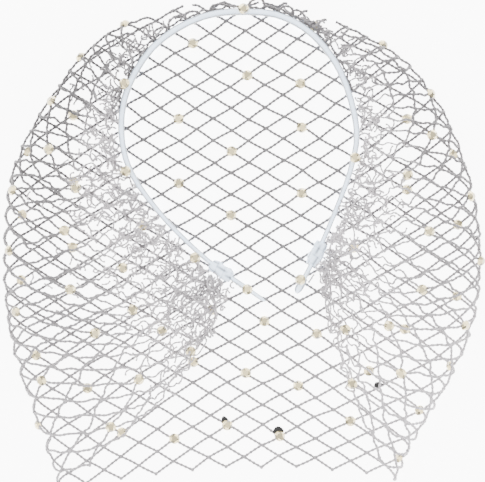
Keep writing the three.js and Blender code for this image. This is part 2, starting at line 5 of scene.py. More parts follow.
import bpy
import numpy as np
from bpy.props import FloatProperty, FloatVectorProperty, IntProperty, PointerProperty
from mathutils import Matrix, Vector


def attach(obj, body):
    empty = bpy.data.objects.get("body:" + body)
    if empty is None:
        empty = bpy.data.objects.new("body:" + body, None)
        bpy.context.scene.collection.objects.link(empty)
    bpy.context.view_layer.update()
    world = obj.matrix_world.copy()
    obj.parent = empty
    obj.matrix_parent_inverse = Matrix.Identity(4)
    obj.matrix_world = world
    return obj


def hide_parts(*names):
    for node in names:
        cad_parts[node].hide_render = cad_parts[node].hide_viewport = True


bl_info = {
    "name": "Veil Headband",
    "version": (1, 0, 0),
    "blender": (4, 5, 0),
    "location": "View3D > Sidebar > Veil",
    "description": "Models a satin-wrapped headband with a veil of crystal-set diamond netting",
    "category": "Object",
}

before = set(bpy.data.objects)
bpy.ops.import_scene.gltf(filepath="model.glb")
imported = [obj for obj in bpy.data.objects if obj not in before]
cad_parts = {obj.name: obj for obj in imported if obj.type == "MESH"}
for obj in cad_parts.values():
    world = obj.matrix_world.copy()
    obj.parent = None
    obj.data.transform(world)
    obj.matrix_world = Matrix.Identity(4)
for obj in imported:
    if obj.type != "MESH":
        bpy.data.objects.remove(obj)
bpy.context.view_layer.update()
MM = 0.001

# Sizes of the band and of the folded net, the same as in the frame's source, in millimetres and shares
VEIL_WIDTH = 252
VEIL_LENGTH = 249
VEIL_TOP_Y = 125
BAND_WIDTH = 125
BAND_LENGTH = 150
BAND_TOP_Y = 120.5
BAND_THICK_CROWN = 3.8
BAND_THICK_TIP = 2.6
BAND_TALL_CROWN = 8.0
BAND_TALL_TIP = 5.0
BAND_TAPER_FROM = 0.25
BAND_THIN_BY = 0.9
BAND_LOW_BY = 0.95
TIP_LENGTH_LEFT = 9.0
TIP_WIDTH_LEFT = 2.2
TIP_LENGTH_RIGHT = 7.0
TIP_WIDTH_RIGHT = 4.2
BINDING_LENGTH = 13.0
BINDING_WIDTH = 8.0
BINDING_TALL = 7.8
BINDING_SHARE = 0.91
PIECE_GAP = 0.3
DIAMOND_HALF_WIDTH = 9.25
DIAMOND_HALF_HEIGHT = 5.61
NET_WALL = 1.4
NET_CENTRE_X = 12.0
NET_CENTRE_Y = 2.4
NET_CENTRE_ROW = 10
HEM_ROW = 32
TOP_ROW = -14
SPREAD_COLUMNS = 10
SPREAD_ROWS = 20
CORNER_DROOP = 9.2
ROW_TWIST = 5.9
ROW_TWIST_FADE = (0.6, 1.1)
ROW_EASE = 1.9
COLUMN_LEAN = 2.0
CROWN_LEAN = 6.6
CROWN_LEAN_FROM = 0.2
SPREAD_LIMIT = 0.95
RULING_SHARE = 0.337
UNDER_HEIGHT = NET_WALL / 2
FOLD_RADIUS = 19.0
FOLD_CURL = 0.8
FOLD_NARROW = (9, 20)
FOLD_LEVEL = (1.7, 2.2)
HEADING_LEVEL_FROM = 0.6
HOLD_SHORT = 0.03
HOLD_ROOM = 1.5
HOLD_BINDING_FROM = 0.85
GATHER_SLIDE = 0.7
MIDDLE = NET_WALL + PIECE_GAP + BAND_TALL_CROWN / 2
GATHER_HANG = 50
GATHER_HEIGHT = MIDDLE + 1.0
GATHER_FROM = 0.42
PLEATS = 5
PLEAT_HEIGHT = 2.4
PLEAT_RISE = (0.3, 0.75)
PLEAT_FADE = 0.1
CRYSTAL_EVERY = 3
CRYSTAL_REACH = 0.72
EDGE_TURN = 0.45
FOLD_SAMPLES = 220
LINE_SAMPLES = 2401
FAR = 1e9

# The frame's origin is the middle of its underside, this far from the net's own zero
CENTRE_X = 0.192
CENTRE_Y = 0.387

# Rods that the satin pieces are shaped from; they are shaded smooth below an angle in degrees
BAND_ROD = dict(corners=16, rings=900, smooth_below=50)
TIP_ROD = dict(corners=20, rings=26, smooth_below=55)
BINDING_ROD = dict(corners=48, rings=60, smooth_below=40)

# Satin of the band: the threads' spacing in millimetres, the rest as shares of a lap or a tone
BAND_SQUARE = 0.7
RIBBON_THICK = 0.07
RIBBON_RISE = (0, 0.85)
RIBBON_FALL = (0.9, 1.0)
# Painted light and shade on the satin: a painted highlight rises across each lap of ribbon, painted shade
# falls where it tucks under the next lap, and painted shade darkens the edges of the band and of the end
# sleeves.
LAP_TONE = 0.25
LAP_LIGHT = (0.02, 0.3)
LAP_SHADE = (0.93, 1.0)
LAP_END = 0.8
EDGE_PAINTED_SHADE = 0.95
EDGE_FROM = 0.4
BAND_EDGE_TO = 0.85
TIP_EDGE_TO = 0.9
THREAD_SPACING = 1.6

# End sleeves: the lap over the arm in millimetres, the rest as shares of the sleeve
TIP_LAP = 2
TIP_SQUARE = 0.8
TIP_ROUND_FROM = 0.6
TIP_SMALLEST = 0.06
TIP_PINCH = 0.12
TIP_PINCH_AT = 0.12
TIP_PINCH_LONG = 0.06
TIP_FLUTE = 0.05
TIP_HALF_TALL = 0.4

# Bindings: creases in millimetres, the rest as turns and shares
BINDING_SQUARE = 0.85
BINDING_START = 1.2
BINDING_TURNS = 3
BINDING_FULL = 0.9
BINDING_LUMPS = 0.05
BINDING_TAPER = 0.22
BINDING_GROOVE = 0.05
BINDING_GROOVE_WIDE = (0, 0.22)
# Painted shade on the bindings: darker in the groove of each winding and in the hollows of the folds.
BINDING_TONE = 0.9
GROOVE_PAINTED_SHADE = 0.3
GROOVE_SHADE = (0, 0.25)
BROAD_FOLD = dict(deep=0.05, round=5, along=4)
FINE_FOLD = dict(deep=0.04, round=8, along=-7)
FOLD_PAINTED_SHADE = 8.0
CREASES_LONG = 2.9
CREASES_DEEP = 1.3
FINER_CREASES = 0.4

# Cords and knots of the net, in millimetres, steps and shares
CORD_STEPS = 18
# The section doubles as the cord's tone: its narrower corners, in the grooves between the plies, get painted
# shade.
CORD_SECTION = np.array([1.0, 0.74, 0.74, 1.0, 0.74, 0.74])
CORD_SIDE = np.array([0.31, 0.17, 0.94])
CORD_SMOOTH_BELOW = 70
KNOT_STRETCH = (1.18, 1.0, 0.78)
KNOT_TONE = 0.9
KNOT_LIFTS = (-0.25, 0.35)
LATTICE_REACH = 32
LATTICE_COLUMNS = 30
JITTER = 0.5
CUT_HALVINGS = 12
SHORTEST_CORD = 0.12
FLOOR_GAP = 0.9
FRONT_INSIDE = 46
UP = np.array([0.0, 0.0, 1.0])
TINY = 1e-12
SMALLEST = 0.01

# How far the gathers and folds are pushed about, by waves of two lengths, in millimetres
CRUMPLE = 1.3
CRUMPLE_LENGTH = 12
CRUMPLE_SEED = 21
CRUMPLE_TALL = 0.5
CREASE = 0.8
CREASE_LENGTH = 5.5
CREASE_SEED = 22
WAVES = 9
WAVE_LENGTHS = (0.7, 1.5)
FOLD_CRUMPLE = 0.33
LOOSE_BY = 0.6
LOOSE_THIN = 0.35

# How much paler or darker the net gets as painted light and shade, and over which stretches, in millimetres
LOOSE_PALE = 1.2
ABOVE_PALE = 0.3
ABOVE_HEIGHT = (6, 20)
ABOVE_DOWN = (-80, 0)
HEM_PALE = 0.8
HEM_DOWN = (0, 115)
RIGHT_PALE = 0.9
RIGHT_ACROSS = (20, 110)
RIGHT_DOWN = (-30, 60)
LEFT_DARK = 0.3
LEFT_ACROSS = (20, 90)
LEFT_UP = (-60, 50)

# Loops of net standing out from the band at the crown.
# x: middle of the loop across the veil; wide and tall: its size; all in millimetres.
CROWN_LOOPS = [
    dict(x=-44, wide=9, tall=3.6),
    dict(x=-35, wide=10, tall=4.0),
    dict(x=-26, wide=8, tall=2.8),
    dict(x=-11.5, wide=10, tall=2.6),
    dict(x=6.5, wide=9, tall=5.0),
    dict(x=14, wide=8, tall=1.6),
    dict(x=22, wide=8, tall=4.2),
    dict(x=29, wide=9, tall=4.4),
    dict(x=37, wide=8, tall=3.6),
    dict(x=45, wide=9, tall=3.4),
]
LOOP_STEPS = 22
LOOP_LEAN = 1.6
LOOP_ROOT = 0.6
LOOP_ROUND = 0.8
LOOP_HEIGHT = 1.0
LOOP_ARCH = 1.4
LOOP_UNEVEN = 0.4
LOOP_RADIUS = 0.5
EDGE_CORD_SHARE = 0.42
EDGE_CORD_STEPS = 160
EDGE_CORD_GAP = 0.55
EDGE_CORD_HEIGHT = 1.6
EDGE_WAVE = dict(size=0.5, pace=90)
EDGE_RIPPLE = dict(size=0.35, pace=211)
EDGE_BOB = dict(size=0.5, pace=70)
EDGE_CORD_RADIUS = 0.45

# Where the net bunches up beside each arm of the band, in millimetres and shares of the arm.
# sign: side; start and end: the stretch of arm; near and wide: distance from it;
# pale: how much lighter than the net, as painted light; count: strands.
RUFFLES = [
    dict(sign=-1, start=0.10, end=0.45, near=3.0, wide=10.0, pale=0.6, count=130),
    dict(sign=-1, start=0.40, end=0.97, near=2.6, wide=25.0, pale=2.3, count=500),
    dict(sign=1, start=0.12, end=0.45, near=3.0, wide=8.0, pale=0.6, count=80),
    dict(sign=1, start=0.44, end=0.97, near=2.6, wide=13.0, pale=2.3, count=230),
]
STRAND_STEPS = 8
STRAND_STEP = 0.75
STRAND_CLEAR = 1.4
STRAND_CROWDING = 0.8
STRAND_FADE = (-0.1, 0.3)
STRAND_HEIGHTS = (-2.5, 3.5)
STRAND_SLOPE = 0.35
STRAND_SLOPE_END = 16
STRAND_LOWEST = 2.6
STRAND_BEND = 0.22
STRAND_RISE = 0.25
STRAND_CARRY = 0.8
STRAND_CURL = 0.2
STRAND_WANDER = 0.12
STRAND_RADIUS = 0.36

# Rings of corners of a cut stone: height in millimetres, width as a share, turn in corners
STONE_RINGS = [
    dict(height=0.25, width=1.00, count=16, turn=0.0),
    dict(height=-0.25, width=1.00, count=16, turn=0.0),
    dict(height=1.15, width=0.82, count=8, turn=0.5),
    dict(height=1.90, width=0.55, count=8, turn=0.0),
    dict(height=-0.95, width=0.74, count=8, turn=0.5),
    dict(height=-1.35, width=0.46, count=8, turn=0.0),
]
# Painted reflections of the stone: pale and dim facets by turns, the table between.
FACET_PAIRS = 3
FACET_START = 0.4
FACET_UNEVEN = 0.25
DIM_FACET = 0.12
PALE_FACET = 1.0
TABLE_REACH = 0.3
TABLE_TONE = 0.42

# Where the crystals sit on the net: crossings, and distances in millimetres
SITE_REACH = 12
HOLD_CLEAR = 6
FOLD_LINE_CLEAR = 1.5
OPEN_INSIDE = 46
CRYSTAL_RISE = 0.8
CRYSTAL_OVERLAP = 1.9
CRYSTAL_TILT = 0.14
ON_BAND_RISE = 1.2

# Dark flecks near the hem: places and sizes in millimetres, turn in degrees
FLECKS = [
    dict(x=-9.9, y=-93.6, long=4.0, wide=3.2, turn=20),
    dict(x=18.4, y=-99.0, long=6.2, wide=3.2, turn=8),
    dict(x=70.6, y=-75.6, long=5.4, wide=2.9, turn=35),
]
FLECK_TALL = 0.9
FLECK_RISE = 1.2
FLECK_BEND = 0.5
FLECK_SMOOTH_BELOW = 60

# Stage: the photo's scale in pixels and millimetres, the rest in metres, watts and strengths
PHOTO_WIDTH = 485
PHOTO_SCALE = 0.527
PHOTO_CENTRE = (-0.26, 0.0)
CAMERA_HEIGHT = 2.2
CAMERA_SIGHT = 20.0
SENSOR = 36.0
FLOOR_SIZE = 4.0
FLOOR_GLOW = 8.0
ROOM_LIGHT = 2.4
KEY_PLACE = (-0.9, 1.1, 1.7)
KEY_SIZE = 1.2
KEY_WATTS = 24.0

# Outline of the fold on each side, crown to hem corner.
# side: share of half the veil's width; down: share of its length; lift: share of the fold radius;
# held: share of the band's arm at which this part of the net is fastened.
FOLD_LEFT = [
    dict(side=0.18, down=0.000, lift=0.17, held=0.10),
    dict(side=0.33, down=0.020, lift=0.20, held=0.20),
    dict(side=0.49, down=0.047, lift=0.45, held=0.30),
    dict(side=0.62, down=0.090, lift=0.62, held=0.39),
    dict(side=0.765, down=0.176, lift=0.80, held=0.50),
    dict(side=0.89, down=0.280, lift=0.95, held=0.61),
    dict(side=0.965, down=0.375, lift=1.00, held=0.72),
    dict(side=0.985, down=0.475, lift=1.00, held=0.84),
    dict(side=0.985, down=0.620, lift=0.98, held=1.00),
    dict(side=0.945, down=0.740, lift=0.88, held=1.00),
    dict(side=0.885, down=0.835, lift=0.75, held=1.00),
    dict(side=0.825, down=0.920, lift=0.60, held=1.00),
    dict(side=0.765, down=1.020, lift=0.45, held=1.00),
]
FOLD_CROWN = dict(side=0, down=0, lift=0.16, held=0)
FOLD_RIGHT = [
    dict(side=0.18, down=0.000, lift=0.17, held=0.10),
    dict(side=0.31, down=0.026, lift=0.20, held=0.20),
    dict(side=0.494, down=0.066, lift=0.45, held=0.31),
    dict(side=0.70, down=0.138, lift=0.70, held=0.43),
    dict(side=0.837, down=0.238, lift=0.88, held=0.56),
    dict(side=0.92, down=0.343, lift=0.97, held=0.69),
    dict(side=0.97, down=0.443, lift=1.00, held=0.82),
    dict(side=0.983, down=0.549, lift=1.00, held=0.95),
    dict(side=0.967, down=0.644, lift=0.95, held=1.00),
    dict(side=0.916, down=0.730, lift=0.85, held=1.00),
    dict(side=0.824, down=0.824, lift=0.72, held=1.00),
    dict(side=0.72, down=0.912, lift=0.58, held=1.00),
    dict(side=0.62, down=1.020, lift=0.45, held=1.00),
]

# Crystals of the layer below, by the two cords of the net that cross under each.
# p: cord running down to the right; q: cord running up to the right.
CRYSTALS_BELOW = [
    dict(p=-6, q=5), dict(p=-3, q=6), dict(p=-6, q=2), dict(p=-3, q=2), dict(p=-1, q=3),
    dict(p=-3, q=-2), dict(p=1, q=1), dict(p=0, q=-2), dict(p=4, q=1), dict(p=-2, q=-6),
    dict(p=0, q=-5), dict(p=4, q=-2), dict(p=3, q=-5), dict(p=1, q=-8), dict(p=8, q=-3),
    dict(p=4, q=-8), dict(p=8, q=-6), dict(p=7, q=-8), dict(p=7, q=-10), dict(p=9, q=-9),
    dict(p=11, q=-8), dict(p=14, q=-8), dict(p=9, q=-13), dict(p=11, q=-12), dict(p=13, q=-11),
    dict(p=17, q=-8), dict(p=16, q=-11), dict(p=13, q=-15), dict(p=10, q=-18), dict(p=15, q=-14),
    dict(p=12, q=-17), dict(p=19, q=-11),
]

# Middle line of the band on each side, crown to tip.
# side: share of the band's width from the crown; down: share of its length.
ARM_LEFT = [
    dict(side=0.135, down=0.010),
    dict(side=0.275, down=0.058),
    dict(side=0.395, down=0.140),
    dict(side=0.485, down=0.270),
    dict(side=0.512, down=0.400),
    dict(side=0.480, down=0.545),
    dict(side=0.345, down=0.710),
    dict(side=0.150, down=0.870),
    dict(side=-0.035, down=0.980),
]
ARM_RIGHT = [
    dict(side=0.145, down=0.012),
    dict(side=0.275, down=0.068),
    dict(side=0.390, down=0.180),
    dict(side=0.457, down=0.320),
    dict(side=0.478, down=0.440),
    dict(side=0.450, down=0.560),
    dict(side=0.388, down=0.700),
    dict(side=0.318, down=0.835),
    dict(side=0.250, down=0.945),
]


def smooth(value, start, end):
    t = np.clip((value - start) / (end - start), 0, 1)
    return t * t * (3 - 2 * t)


def mix(a, b, t):
    return a + (b - a) * t


def to_frame(points):
    """Net millimetres to the frame's metres."""
    points = np.asarray(points, float)
    return (points - np.array([CENTRE_X, CENTRE_Y, 0.0])) * MM


class SmoothLine:
    """A centripetal curve through points."""

    def __init__(self, points):
        points = np.array(points, float)
        first = 2 * points[0] - points[1]
        last = 2 * points[-1] - points[-2]
        self.points = np.vstack([first, points, last])
        self.parts = len(points) - 1
        self.shares = np.linspace(0, 1, LINE_SAMPLES)
        steps = np.linalg.norm(np.diff(self.at(self.shares), axis=0), axis=1)
        self.run = np.concatenate([[0], np.cumsum(steps)])

    def at(self, share):
        share = np.atleast_1d(share)
        place = np.clip(share, 0, 1) * self.parts
        k = np.minimum(place.astype(int), self.parts - 1)
        t = (place - k)[:, None]
        x0, x1, x2, x3 = (self.points[k + i] for i in range(4))
        d0 = np.sqrt(np.linalg.norm(x1 - x0, axis=1))[:, None]
        d1 = np.sqrt(np.linalg.norm(x2 - x1, axis=1))[:, None]
        d2 = np.sqrt(np.linalg.norm(x3 - x2, axis=1))[:, None]
        t1 = ((x1 - x0) / d0 - (x2 - x0) / (d0 + d1) + (x2 - x1) / d1) * d1
        t2 = ((x2 - x1) / d1 - (x3 - x1) / (d1 + d2) + (x3 - x2) / d2) * d1
        c2 = -3 * x1 + 3 * x2 - 2 * t1 - t2
        c3 = 2 * x1 - 2 * x2 + t1 + t2
        return x1 + t1 * t + c2 * t * t + c3 * t * t * t

    def direction(self, share):
        share = np.atleast_1d(share)
        step = self.at(np.minimum(share + 1e-4, 1)) - self.at(np.maximum(share - 1e-4, 0))
        return step / np.linalg.norm(step, axis=1, keepdims=True)

    def by_length(self, share):
        return np.interp(np.atleast_1d(share) * self.run[-1], self.run, self.shares)


def band_point(sign, row):
    return [sign * row["side"] * BAND_WIDTH, BAND_TOP_Y - row["down"] * BAND_LENGTH, 0]


CROWN = np.array([0, BAND_TOP_Y, 0], float)
BAND_LINE = SmoothLine(
    [
        *(band_point(-1, row) for row in reversed(ARM_LEFT)),
        CROWN,
        *(band_point(1, row) for row in ARM_RIGHT),
    ]
)


def share_at_crown():
    shares = np.linspace(0, 1, num=401)
    gaps = np.linalg.norm(BAND_LINE.at(BAND_LINE.by_length(shares)) - CROWN, axis=1)
    return shares[gaps.argmin()]


CROWN_SHARE = share_at_crown()


def arm_length(sign):
    return BAND_LINE.run[-1] * (CROWN_SHARE if sign < 0 else 1 - CROWN_SHARE)


def outer_side(along):
    """The side of the band away from the head, square to its directions."""
    return np.stack([-along[:, 1], along[:, 0], np.zeros(len(along))], 1)


def arm_at(sign, share):
    """Point, direction and outward side of an arm, at shares of its length from the crown."""
    end = 0.0 if sign < 0 else 1.0
    u = BAND_LINE.by_length(mix(CROWN_SHARE, end, np.atleast_1d(share)))
    along = BAND_LINE.direction(u)
    return BAND_LINE.at(u), along, outer_side(along)


def band_thick(share):
    return mix(BAND_THICK_CROWN, BAND_THICK_TIP, smooth(share, BAND_TAPER_FROM, BAND_THIN_BY))


def band_tall(share):
    return mix(BAND_TALL_CROWN, BAND_TALL_TIP, smooth(share, BAND_TAPER_FROM, BAND_LOW_BY))


class FoldedNet:
    """The net as it lies: spread flat, then folded round each side and drawn to the band."""

    def __init__(self):
        rows = [(-1, row) for row in reversed(FOLD_LEFT)]
        rows += [(1, row) for row in (FOLD_CROWN, *FOLD_RIGHT)]
        flat = [
            (sign * row["side"] * VEIL_WIDTH / 2, VEIL_TOP_Y - row["down"] * VEIL_LENGTH)
            for sign, row in rows
        ]
        fold = SmoothLine([(x, y, row["lift"]) for (x, y), (_, row) in zip(flat, rows)])
        hold = SmoothLine([(x, y, sign * row["held"] * 100) for (x, y), (sign, row) in zip(flat, rows)])
        t = np.linspace(0, 1, FOLD_SAMPLES + 1)
        point = fold.at(t)
        tangent = fold.direction(t)
        self.edge = 2 * t - 1
        heading = np.arctan2(tangent[:, 0], -tangent[:, 1])
        heading = np.where((self.edge < 0) & (heading < 0), heading + 2 * math.pi, heading)
        level = np.where(self.edge < 0, math.pi, 0.0)
        heading = mix(heading, level, smooth(np.abs(self.edge), HEADING_LEVEL_FROM, 1))
        self.out = np.stack([np.cos(heading), np.sin(heading)], 1)
        self.radius = FOLD_RADIUS * point[:, 2]
        self.plan = point[:, :2]
        self.spread = self.plan + self.out * ((math.pi / 2 - 1) * self.radius)[:, None]
        held = hold.at(t)[:, 2] / 100
        self.hold = np.zeros_like(self.plan)
        self.gathered = smooth(np.abs(self.edge), GATHER_FROM, 1)
        for sign in (-1, 1):
            mine = self.edge < 0 if sign < 0 else self.edge >= 0
            share = np.minimum(np.abs(held[mine]), 1) * (BINDING_SHARE - HOLD_SHORT)
            at, along, out = arm_at(sign, share)
            clear = band_thick(share) / 2 + PIECE_GAP + NET_WALL / 2
            at_binding = BINDING_WIDTH / 2 + PIECE_GAP + HOLD_ROOM
            reach = mix(clear, at_binding, smooth(np.abs(held[mine]), HOLD_BINDING_FROM, 1))
            slide = sign * self.gathered[mine] * BINDING_LENGTH * GATHER_SLIDE
            self.hold[mine] = (at + out * reach[:, None] + along * slide[:, None])[:, :2]

    def through(self, points):
        """The ruling through each spread point, and how far outside the fold line the point lies."""
        points = np.asarray(points, float)
        gap = points[:, None, :] - self.spread[None]
        side = self.out[None, :, 0] * gap[:, :, 1] - self.out[None, :, 1] * gap[:, :, 0]
        ha, hb = side[:, :-1], side[:, 1:]
        crosses = ha * hb <= 0
        t = np.where(ha == hb, 0, ha / np.where(ha == hb, 1, ha - hb))
        spread = mix(self.spread[None, :-1], self.spread[None, 1:], t[..., None])
        out = mix(self.out[None, :-1], self.out[None, 1:], t[..., None])
        out = out / np.linalg.norm(out, axis=2, keepdims=True)
        past = ((points[:, None] - spread) * out).sum(2)
        score = np.where(crosses & (past >= -RULING_SHARE * VEIL_WIDTH), np.abs(past), FAR)
        pick = score.argmin(1)
        n = np.arange(len(points))
        found = score[n, pick] < FAR
        end = np.where(points[:, 0] < 0, 0, len(self.spread) - 1)
        a = np.where(found, pick, end)
        b = np.where(found, pick + 1, end)
        share = np.where(found, t[n, pick], 0.0)
        end_past = ((points - self.spread[end]) * self.out[end]).sum(1)
        end_past = np.where(end_past > 1, 10 * VEIL_WIDTH, np.maximum(end_past, -VEIL_WIDTH))
        info = {"past": np.where(found, past[n, pick], end_past)}
        info["out"] = np.where(found[:, None], out[n, pick], self.out[end])
        for name in ("plan", "hold"):
            values = getattr(self, name)
            info[name] = mix(values[a], values[b], share[:, None])
        for name in ("radius", "gathered", "edge"):
            values = getattr(self, name)
            info[name] = mix(values[a], values[b], share)
        info["width"] = np.linalg.norm(info["plan"] - info["hold"], axis=1)
        info["curl"] = np.minimum(info["radius"], FOLD_CURL * info["width"])
        reach = info["radius"] * math.pi / 2 + info["width"] - info["curl"]
        info["reach"] = reach * smooth(info["width"], *FOLD_NARROW)
        return info

    def folded(self, points):
        """The folded places of spread points: flat below, round the fold, and back above to the band."""
        points = np.asarray(points, float)
        info = self.through(points)
        past, radius = info["past"], info["radius"]
        turn = np.minimum(np.abs(past) / radius, math.pi / 2)
        quarter = radius * math.pi / 2
        shift = np.where(turn < math.pi / 2, -past - radius * (1 - np.cos(turn)) - quarter + radius, 0)
        low = UNDER_HEIGHT + radius * (1 - np.sin(turn))
        below = np.column_stack([points + info["out"] * shift[:, None], low])
        width = np.maximum(info["width"], 0.01)
        inset = info["curl"] * (1 - np.cos(turn)) + np.maximum(0, past - quarter)
        along = np.minimum(1, inset / width)
        middle = mix(info["plan"], info["hold"], 0.5)
        hang = info["hold"] + np.array([0, -GATHER_HANG])
        bend = mix(middle, hang, info["gathered"][:, None])
        share = along[:, None]
        flat = mix(mix(info["plan"], bend, share), mix(bend, info["hold"], share), share)
        start = info["curl"] / width
        down = smooth((along - start) / (1 - start), 0, 1)
        span = (np.abs(info["edge"]) - GATHER_FROM) / (1 - GATHER_FROM)
        pleat = PLEAT_HEIGHT * np.sin(span * PLEATS * 2 * math.pi) * smooth(along, *PLEAT_RISE)
        pleat = pleat * smooth(span, 0, PLEAT_FADE) * (1 - smooth(span, 1 - PLEAT_FADE, 1))
        high = mix(UNDER_HEIGHT + radius * (1 + np.sin(turn)), GATHER_HEIGHT, down) + pleat
        above = np.column_stack([flat, high])
        return np.where((past > 0)[:, None], above, below)

    def inner_side(self, points):
        """The net's inner side at spread points: up in the layer below, down in the layer above."""
        points = np.asarray(points, float)
        step = 0.4
        east = self.folded(points + [step, 0]) - self.folded(points - [step, 0])
        north = self.folded(points + [0, step]) - self.folded(points - [0, step])
        normal = np.cross(east, north)
        normal /= np.maximum(np.linalg.norm(normal, axis=1, keepdims=True), 1e-9)
        info = self.through(points)
        start, end = (info["radius"] * turns for turns in FOLD_LEVEL)
        flat = smooth(info["past"], start, end)
        normal = mix(normal, np.array([0, 0, -1.0]), flat[:, None])
        return normal / np.maximum(np.linalg.norm(normal, axis=1, keepdims=True), 1e-9)


NET = FoldedNet()


def spread_points(column, row):
    """Crossings of the net spread flat: columns run across, rows down from the crown."""
    side = np.clip(column / SPREAD_COLUMNS, -SPREAD_LIMIT, SPREAD_LIMIT)
    down = (row - NET_CENTRE_ROW) / SPREAD_ROWS
    twist = ROW_TWIST * side * down * (1 - smooth(down, *ROW_TWIST_FADE))
    y = NET_CENTRE_Y - (row - NET_CENTRE_ROW) * DIAMOND_HALF_HEIGHT
    y = y - CORNER_DROOP * side * side * down - twist + ROW_EASE * down * down
    lean = COLUMN_LEAN * down + CROWN_LEAN * np.maximum(0, -down - CROWN_LEAN_FROM) ** 2
    return np.column_stack([NET_CENTRE_X + column * DIAMOND_HALF_WIDTH - lean, y])


# Sizes and colours that a user would change


def linear(colour):
    """An sRGB hex colour as linear red, green and blue."""
    value = int(colour.lstrip("#"), 16)
    parts = [(value >> shift & 255) / 255 for shift in (16, 8, 0)]
    return [p / 12.92 if p <= 0.04045 else ((p + 0.055) / 1.055) ** 2.4 for p in parts]


def colour_property(name, description, colour):
    return FloatVectorProperty(
        name=name,
        description=description,
        default=linear(colour),
        size=3,
        min=0,
        max=1,
        subtype="COLOR",
    )


def length_property(name, description, millimetres):
    return FloatProperty(name=name, description=description, default=millimetres * MM, min=0, unit="LENGTH")


class VeilSizes(bpy.types.PropertyGroup):
    cord: length_property("Cord", "Diameter of the twisted cord", 1.7)
    twist: length_property("Twist", "Length of one full turn of the two plies", 5.0)
    knot: length_property("Knot", "Width of the knot at each crossing", 2.0)
    slack: length_property("Slack", "How far a cord bows between two knots", 0.25)
    crystal: length_property("Crystal", "Width of a cut crystal", 5.6)
    ribbon: length_property("Ribbon", "Width of the satin ribbon wrapped round the band", 2.6)
    seed: IntProperty(name="Seed", description="Choice of the small irregularities", default=7, min=0)


class VeilColours(bpy.types.PropertyGroup):
    cord: colour_property("Cord", "Twisted cord of the net", "#757274")
    satin: colour_property("Satin", "Satin ribbon of the band", "#D3E3F6")
    glass: colour_property("Crystal", "Tinted cut glass", "#E0D1A0")
    fleck: colour_property("Flecks", "Dark flecks by the hem", "#0C0C0C")
    floor: colour_property("Floor", "Floor of the stage", "#FCFCFC")


# Helpers for selecting, shading and finishing


def select_only(piece=None):
    if bpy.context.mode != "OBJECT":
        bpy.ops.object.mode_set(mode="OBJECT")
    bpy.ops.object.select_all(action="DESELECT")
    if piece is not None:
        piece.select_set(True)
        bpy.context.view_layer.objects.active = piece


def join_pieces(pieces):
    """Joins pieces into the first of them."""
    select_only(pieces[0])
    for piece in pieces:
        piece.select_set(True)
    bpy.ops.object.join()
    return bpy.context.object


def outward_normals(piece):
    select_only(piece)
    bpy.ops.object.mode_set(mode="EDIT")
    bpy.ops.mesh.select_all(action="SELECT")
    bpy.ops.mesh.normals_make_consistent(inside=False)
    bpy.ops.object.mode_set(mode="OBJECT")


def shade(piece, degrees):
    select_only(piece)
    bpy.ops.object.shade_smooth_by_angle(angle=math.radians(degrees))


def finish_piece(piece, material, nodes=()):
    """Gives a modelled piece its material and its place in the frame."""
    piece.data.materials.clear()
    piece.data.materials.append(material)
    if nodes:
        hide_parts(*nodes)
    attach(piece, "root")


# Helpers for shapes kept as points and faces


def take_shape(piece):
    """The points and faces of a modelled shape, which is then removed."""
    mesh = piece.data
    points = np.array([v.co[:] for v in mesh.vertices])
    faces = [list(f.vertices) for f in mesh.polygons]
    bpy.data.objects.remove(piece)
    bpy.data.meshes.remove(mesh)
    return points, faces


def spun(points, turn):
    """Points turned round the upright axis."""
    c, s = math.cos(turn), math.sin(turn)
    return points @ np.array([[c, s, 0], [-s, c, 0], [0, 0, 1]])


def joined(shapes):
    """The points and faces of several shapes as one."""
    points, faces = [], []
    start = 0
    for some_points, some_faces in shapes:
        points.append(some_points)
        faces += [[start + v for v in face] for face in some_faces]
        start += len(some_points)
    return np.vstack(points), faces


def keep_tones(mesh, tones, domain):
    """Keeps a tone for each point or face, which the materials read."""
    layer = mesh.attributes.new("tone", "FLOAT", domain)
    layer.data.foreach_set("value", np.asarray(tones, np.float32))


def mesh_piece(name, points, faces, tones, domain="POINT"):
    """A piece from points, faces and tones."""
    mesh = bpy.data.meshes.new(name)
    mesh.from_pydata(points, [], faces)
    mesh.update()
    keep_tones(mesh, tones, domain)
    piece = bpy.data.objects.new(name, mesh)
    bpy.context.scene.collection.objects.link(piece)
    return piece


def tubes(lines, side, section, angles, widths=1.0):
    """Closed tubes along many lines of the same number of points.

    side is a direction that no line follows; section gives the distance of each corner from the
    line; angles turn the section at each point and widths scale it there.
    """
    count, steps = lines.shape[:2]
    tangent = np.gradient(lines, axis=1)
    tangent /= np.maximum(np.linalg.norm(tangent, axis=2, keepdims=True), TINY)
    across = np.cross(tangent, np.broadcast_to(side, lines.shape))
    across /= np.maximum(np.linalg.norm(across, axis=2, keepdims=True), TINY)
    over = np.cross(across, tangent)
    corners = len(section)
    turn = angles[..., None] + np.arange(corners) / corners * 2 * math.pi
    radius = section * np.broadcast_to(widths, angles.shape)[..., None]
    points = (
        lines[:, :, None]
        + across[:, :, None] * (np.cos(turn) * radius)[..., None]
        + over[:, :, None] * (np.sin(turn) * radius)[..., None]
    )
    ring = np.arange(corners)
    after = (ring + 1) % corners
    base = (np.arange(count)[:, None, None] * steps + np.arange(steps - 1)[None, :, None]) * corners
    quads = np.stack([base + ring, base + ring + corners, base + after + corners, base + after], -1)
    first = np.arange(count)[:, None] * steps * corners + ring
    last = first + (steps - 1) * corners
    faces = quads.reshape(-1, 4).tolist() + first.tolist() + last[:, ::-1].tolist()
    return points.reshape(-1, 3), faces


def twist_angles(lines, twist):
    """How far the plies have turned at each point of each line."""
    steps = np.linalg.norm(np.diff(lines, axis=1, prepend=lines[:, :1]), axis=2)
    return np.cumsum(steps, axis=1) / twist * 2 * math.pi


# Materials


